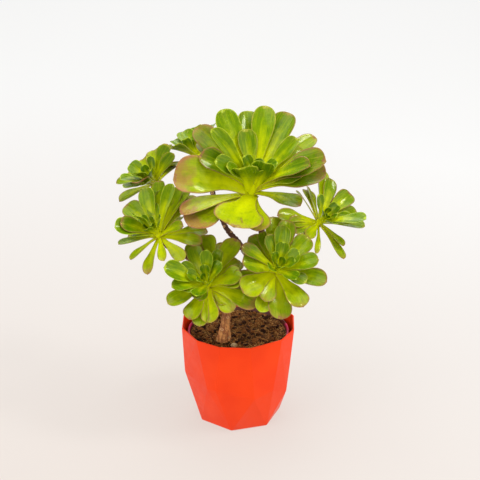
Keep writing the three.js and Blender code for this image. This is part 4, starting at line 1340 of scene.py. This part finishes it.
def leaf_attributes(table, half, s, v, rng):
    """What the skin's material reads: each point's place along and across its leaf, the leaf's age,
    blush and a drawn tone, and leaf_place, its place on the flat leaf in metres, with the flat leaves
    LEAF_APART above one another so that no two look the same."""
    length, age, blush = table[2], table[6].ravel(), table[7].ravel()
    n = len(length)
    per_leaf = LEAF_STATIONS * LEAF_ROUND + 2

    def column(values, at_tip=0.0):
        """The grid's values, then those at the root's and the tip's poles."""
        body = np.broadcast_to(values, (n, LEAF_STATIONS, LEAF_ROUND)).reshape(n, -1)
        ends = np.stack([np.zeros(n), np.broadcast_to(at_tip, n)], 1)
        return np.concatenate([body, ends], 1).ravel()

    flat = [column(half * v), column(length * s, length.ravel())]
    flat.append(np.repeat(np.arange(n) * LEAF_APART, per_leaf))
    return [
        ("along", column(s, 1.0)),
        ("across", column(np.abs(v))),
        ("age", np.repeat(age, per_leaf)),
        ("blush", np.repeat(blush, per_leaf)),
        ("tone", np.repeat(rng.rand(n), per_leaf)),
        ("leaf_place", np.stack(flat, -1) * MM),
    ]


def core_skin(sizes):
    """The short stem that the leaves grow from: a turned profile with a domed top and low bumps."""
    r, h = sizes["core_radius"], sizes["core_height"]
    skirt, cone, taper = CORE["skirt"], CORE["cone"], CORE["taper"]
    points, faces = turned_skin([
        (0, -skirt), (r * 0.92, -skirt), (r, -skirt + 0.8), (r, 0.0),
        *[(r * (1 - (1 - taper) * t), h * t) for t in np.linspace(0.1, 0.9, 9)],
        (r * taper * 0.92, h), (r * taper * 0.6, h + cone * 0.7), (0, h + cone),
    ], CORE_ROUND)
    radial = points * [1, 1, 0]
    radial /= np.maximum(np.linalg.norm(radial, axis=1, keepdims=True), 1e-6)
    return points + radial * lumps(points, CORE_LUMPS)[:, None], faces


def rosette_piece(rosette, material):
    """All leaves and the core as one mesh, turned from +Z to the rosette's axis and set at its hub."""
    rng = np.random.RandomState(LEAF_SEED + rosette["seed"])
    points, faces, attributes = leaf_skins(leaf_table(rosette, rng), rosette["sizes"], rng)
    core_points, core_faces = core_skin(rosette["sizes"])
    joined = []
    for label, values in attributes:
        own = core_points * MM if label == "leaf_place" else np.full(len(core_points), CORE_LOOK[label])
        joined.append((label, np.concatenate([values, own])))
    faces = np.concatenate([faces, core_faces + len(points)])
    points = np.concatenate([points, core_points])
    turned = points @ turn_to(leaning_axis(rosette["lean"], rosette["toward"])).T
    name = rosette["name"].replace("rosette", "leaves")
    piece = mesh_object(name, turned + np.array(rosette["hub"]), faces, material, joined)
    return dress(piece, "leaf", rosette["name"])


class AEONIUM_OT_rosettes(bpy.types.Operator):
    """Rosettes: seven open heads of spoon-shaped leaves"""

    bl_idname = "aeonium.rosettes"
    bl_label = "Rosettes"

    def execute(self, context):
        material = leaf_skin(context.scene.aeonium_plant)
        for rosette in ROSETTES:
            rosette_piece(rosette, material)
        return {"FINISHED"}


# ---- Stage ---------------------------------------------------------------------------------------

def soft_light(name, place, aim, size, power, tint):
    """A round area lamp of this diameter, turned to shine at its aim."""
    lamp = bpy.data.lights.new(name, "AREA")
    lamp.shape = "DISK"
    lamp.size = size
    lamp.energy = power
    lamp.color = tint
    item = bpy.data.objects.new(name, lamp)
    item.location = place
    away = np.array(place, float) - np.array(aim, float)
    flat = math.hypot(away[0], away[1])
    item.rotation_euler = (math.atan2(flat, away[2]), 0.0, math.atan2(away[0], -away[1]))
    bpy.context.scene.collection.objects.link(item)


class AEONIUM_OT_stage(bpy.types.Operator):
    """Stage: the pale floor, the soft lights and the camera"""

    bl_idname = "aeonium.stage"
    bl_label = "Stage"

    def execute(self, context):
        scene = context.scene
        stage = scene.aeonium_stage
        corners = np.array([(-1, -1, 0), (1, -1, 0), (1, 1, 0), (-1, 1, 0)]) * FLOOR_REACH
        plane = mesh_object("floor", corners, np.array([[0, 1, 2, 3]]), stage_floor(stage))
        self.surround(scene)
        for lamp in LAMPS:
            soft_light(*lamp)
        camera = bpy.data.objects.new("camera", bpy.data.cameras.new("camera"))
        camera.data.lens = stage.lens
        camera.data.sensor_width = CAMERA["sensor"]
        camera.data.clip_end = CAMERA["sees_to"]
        camera.location = stage.eye
        camera.rotation_euler = (stage.pitch, 0.0, stage.yaw)
        scene.collection.objects.link(camera)
        scene.camera = camera
        return {"FINISHED"}

    def surround(self, scene):
        world = bpy.data.worlds.new("studio")
        world.use_nodes = True
        background = world.node_tree.nodes["Background"].inputs
        background["Color"].default_value = STUDIO["tint"]
        background["Strength"].default_value = STUDIO["strength"]
        scene.world = world
        scene.view_settings.view_transform = "Standard"


# ---- Panel and registration ----------------------------------------------------------------------

STEPS = (
    AEONIUM_OT_stage, AEONIUM_OT_cover_pot, AEONIUM_OT_nursery_pot, AEONIUM_OT_soil,
    AEONIUM_OT_pebble, AEONIUM_OT_stems, AEONIUM_OT_rosettes,
)
SETTINGS = {
    "aeonium_pot": AeoniumPot, "aeonium_ground": AeoniumGround, "aeonium_plant": AeoniumPlant,
    "aeonium_stage": AeoniumStage,
}


class AEONIUM_PT_parts(bpy.types.Panel):
    """Lists the steps that build the potted aeonium, with their settings"""

    bl_idname = "AEONIUM_PT_parts"
    bl_label = "Potted aeonium"
    bl_space_type = "VIEW_3D"
    bl_region_type = "UI"
    bl_category = "Aeonium"

    def draw(self, context):
        for step in STEPS:
            self.layout.operator(step.bl_idname)
        for name, group in SETTINGS.items():
            box = self.layout.box()
            for key in group.__annotations__:
                box.prop(getattr(context.scene, name), key)


def register():
    for item in (*SETTINGS.values(), *STEPS, AEONIUM_PT_parts):
        bpy.utils.register_class(item)
    for name, group in SETTINGS.items():
        setattr(bpy.types.Scene, name, bpy.props.PointerProperty(type=group))


def unregister():
    for name in SETTINGS:
        delattr(bpy.types.Scene, name)
    for item in (AEONIUM_PT_parts, *STEPS, *SETTINGS.values()):
        bpy.utils.unregister_class(item)


def main():
    register()
    for step in STEPS:
        group, name = step.bl_idname.split(".")
        getattr(getattr(bpy.ops, group), name)()


if __name__ == "__main__":
    main()
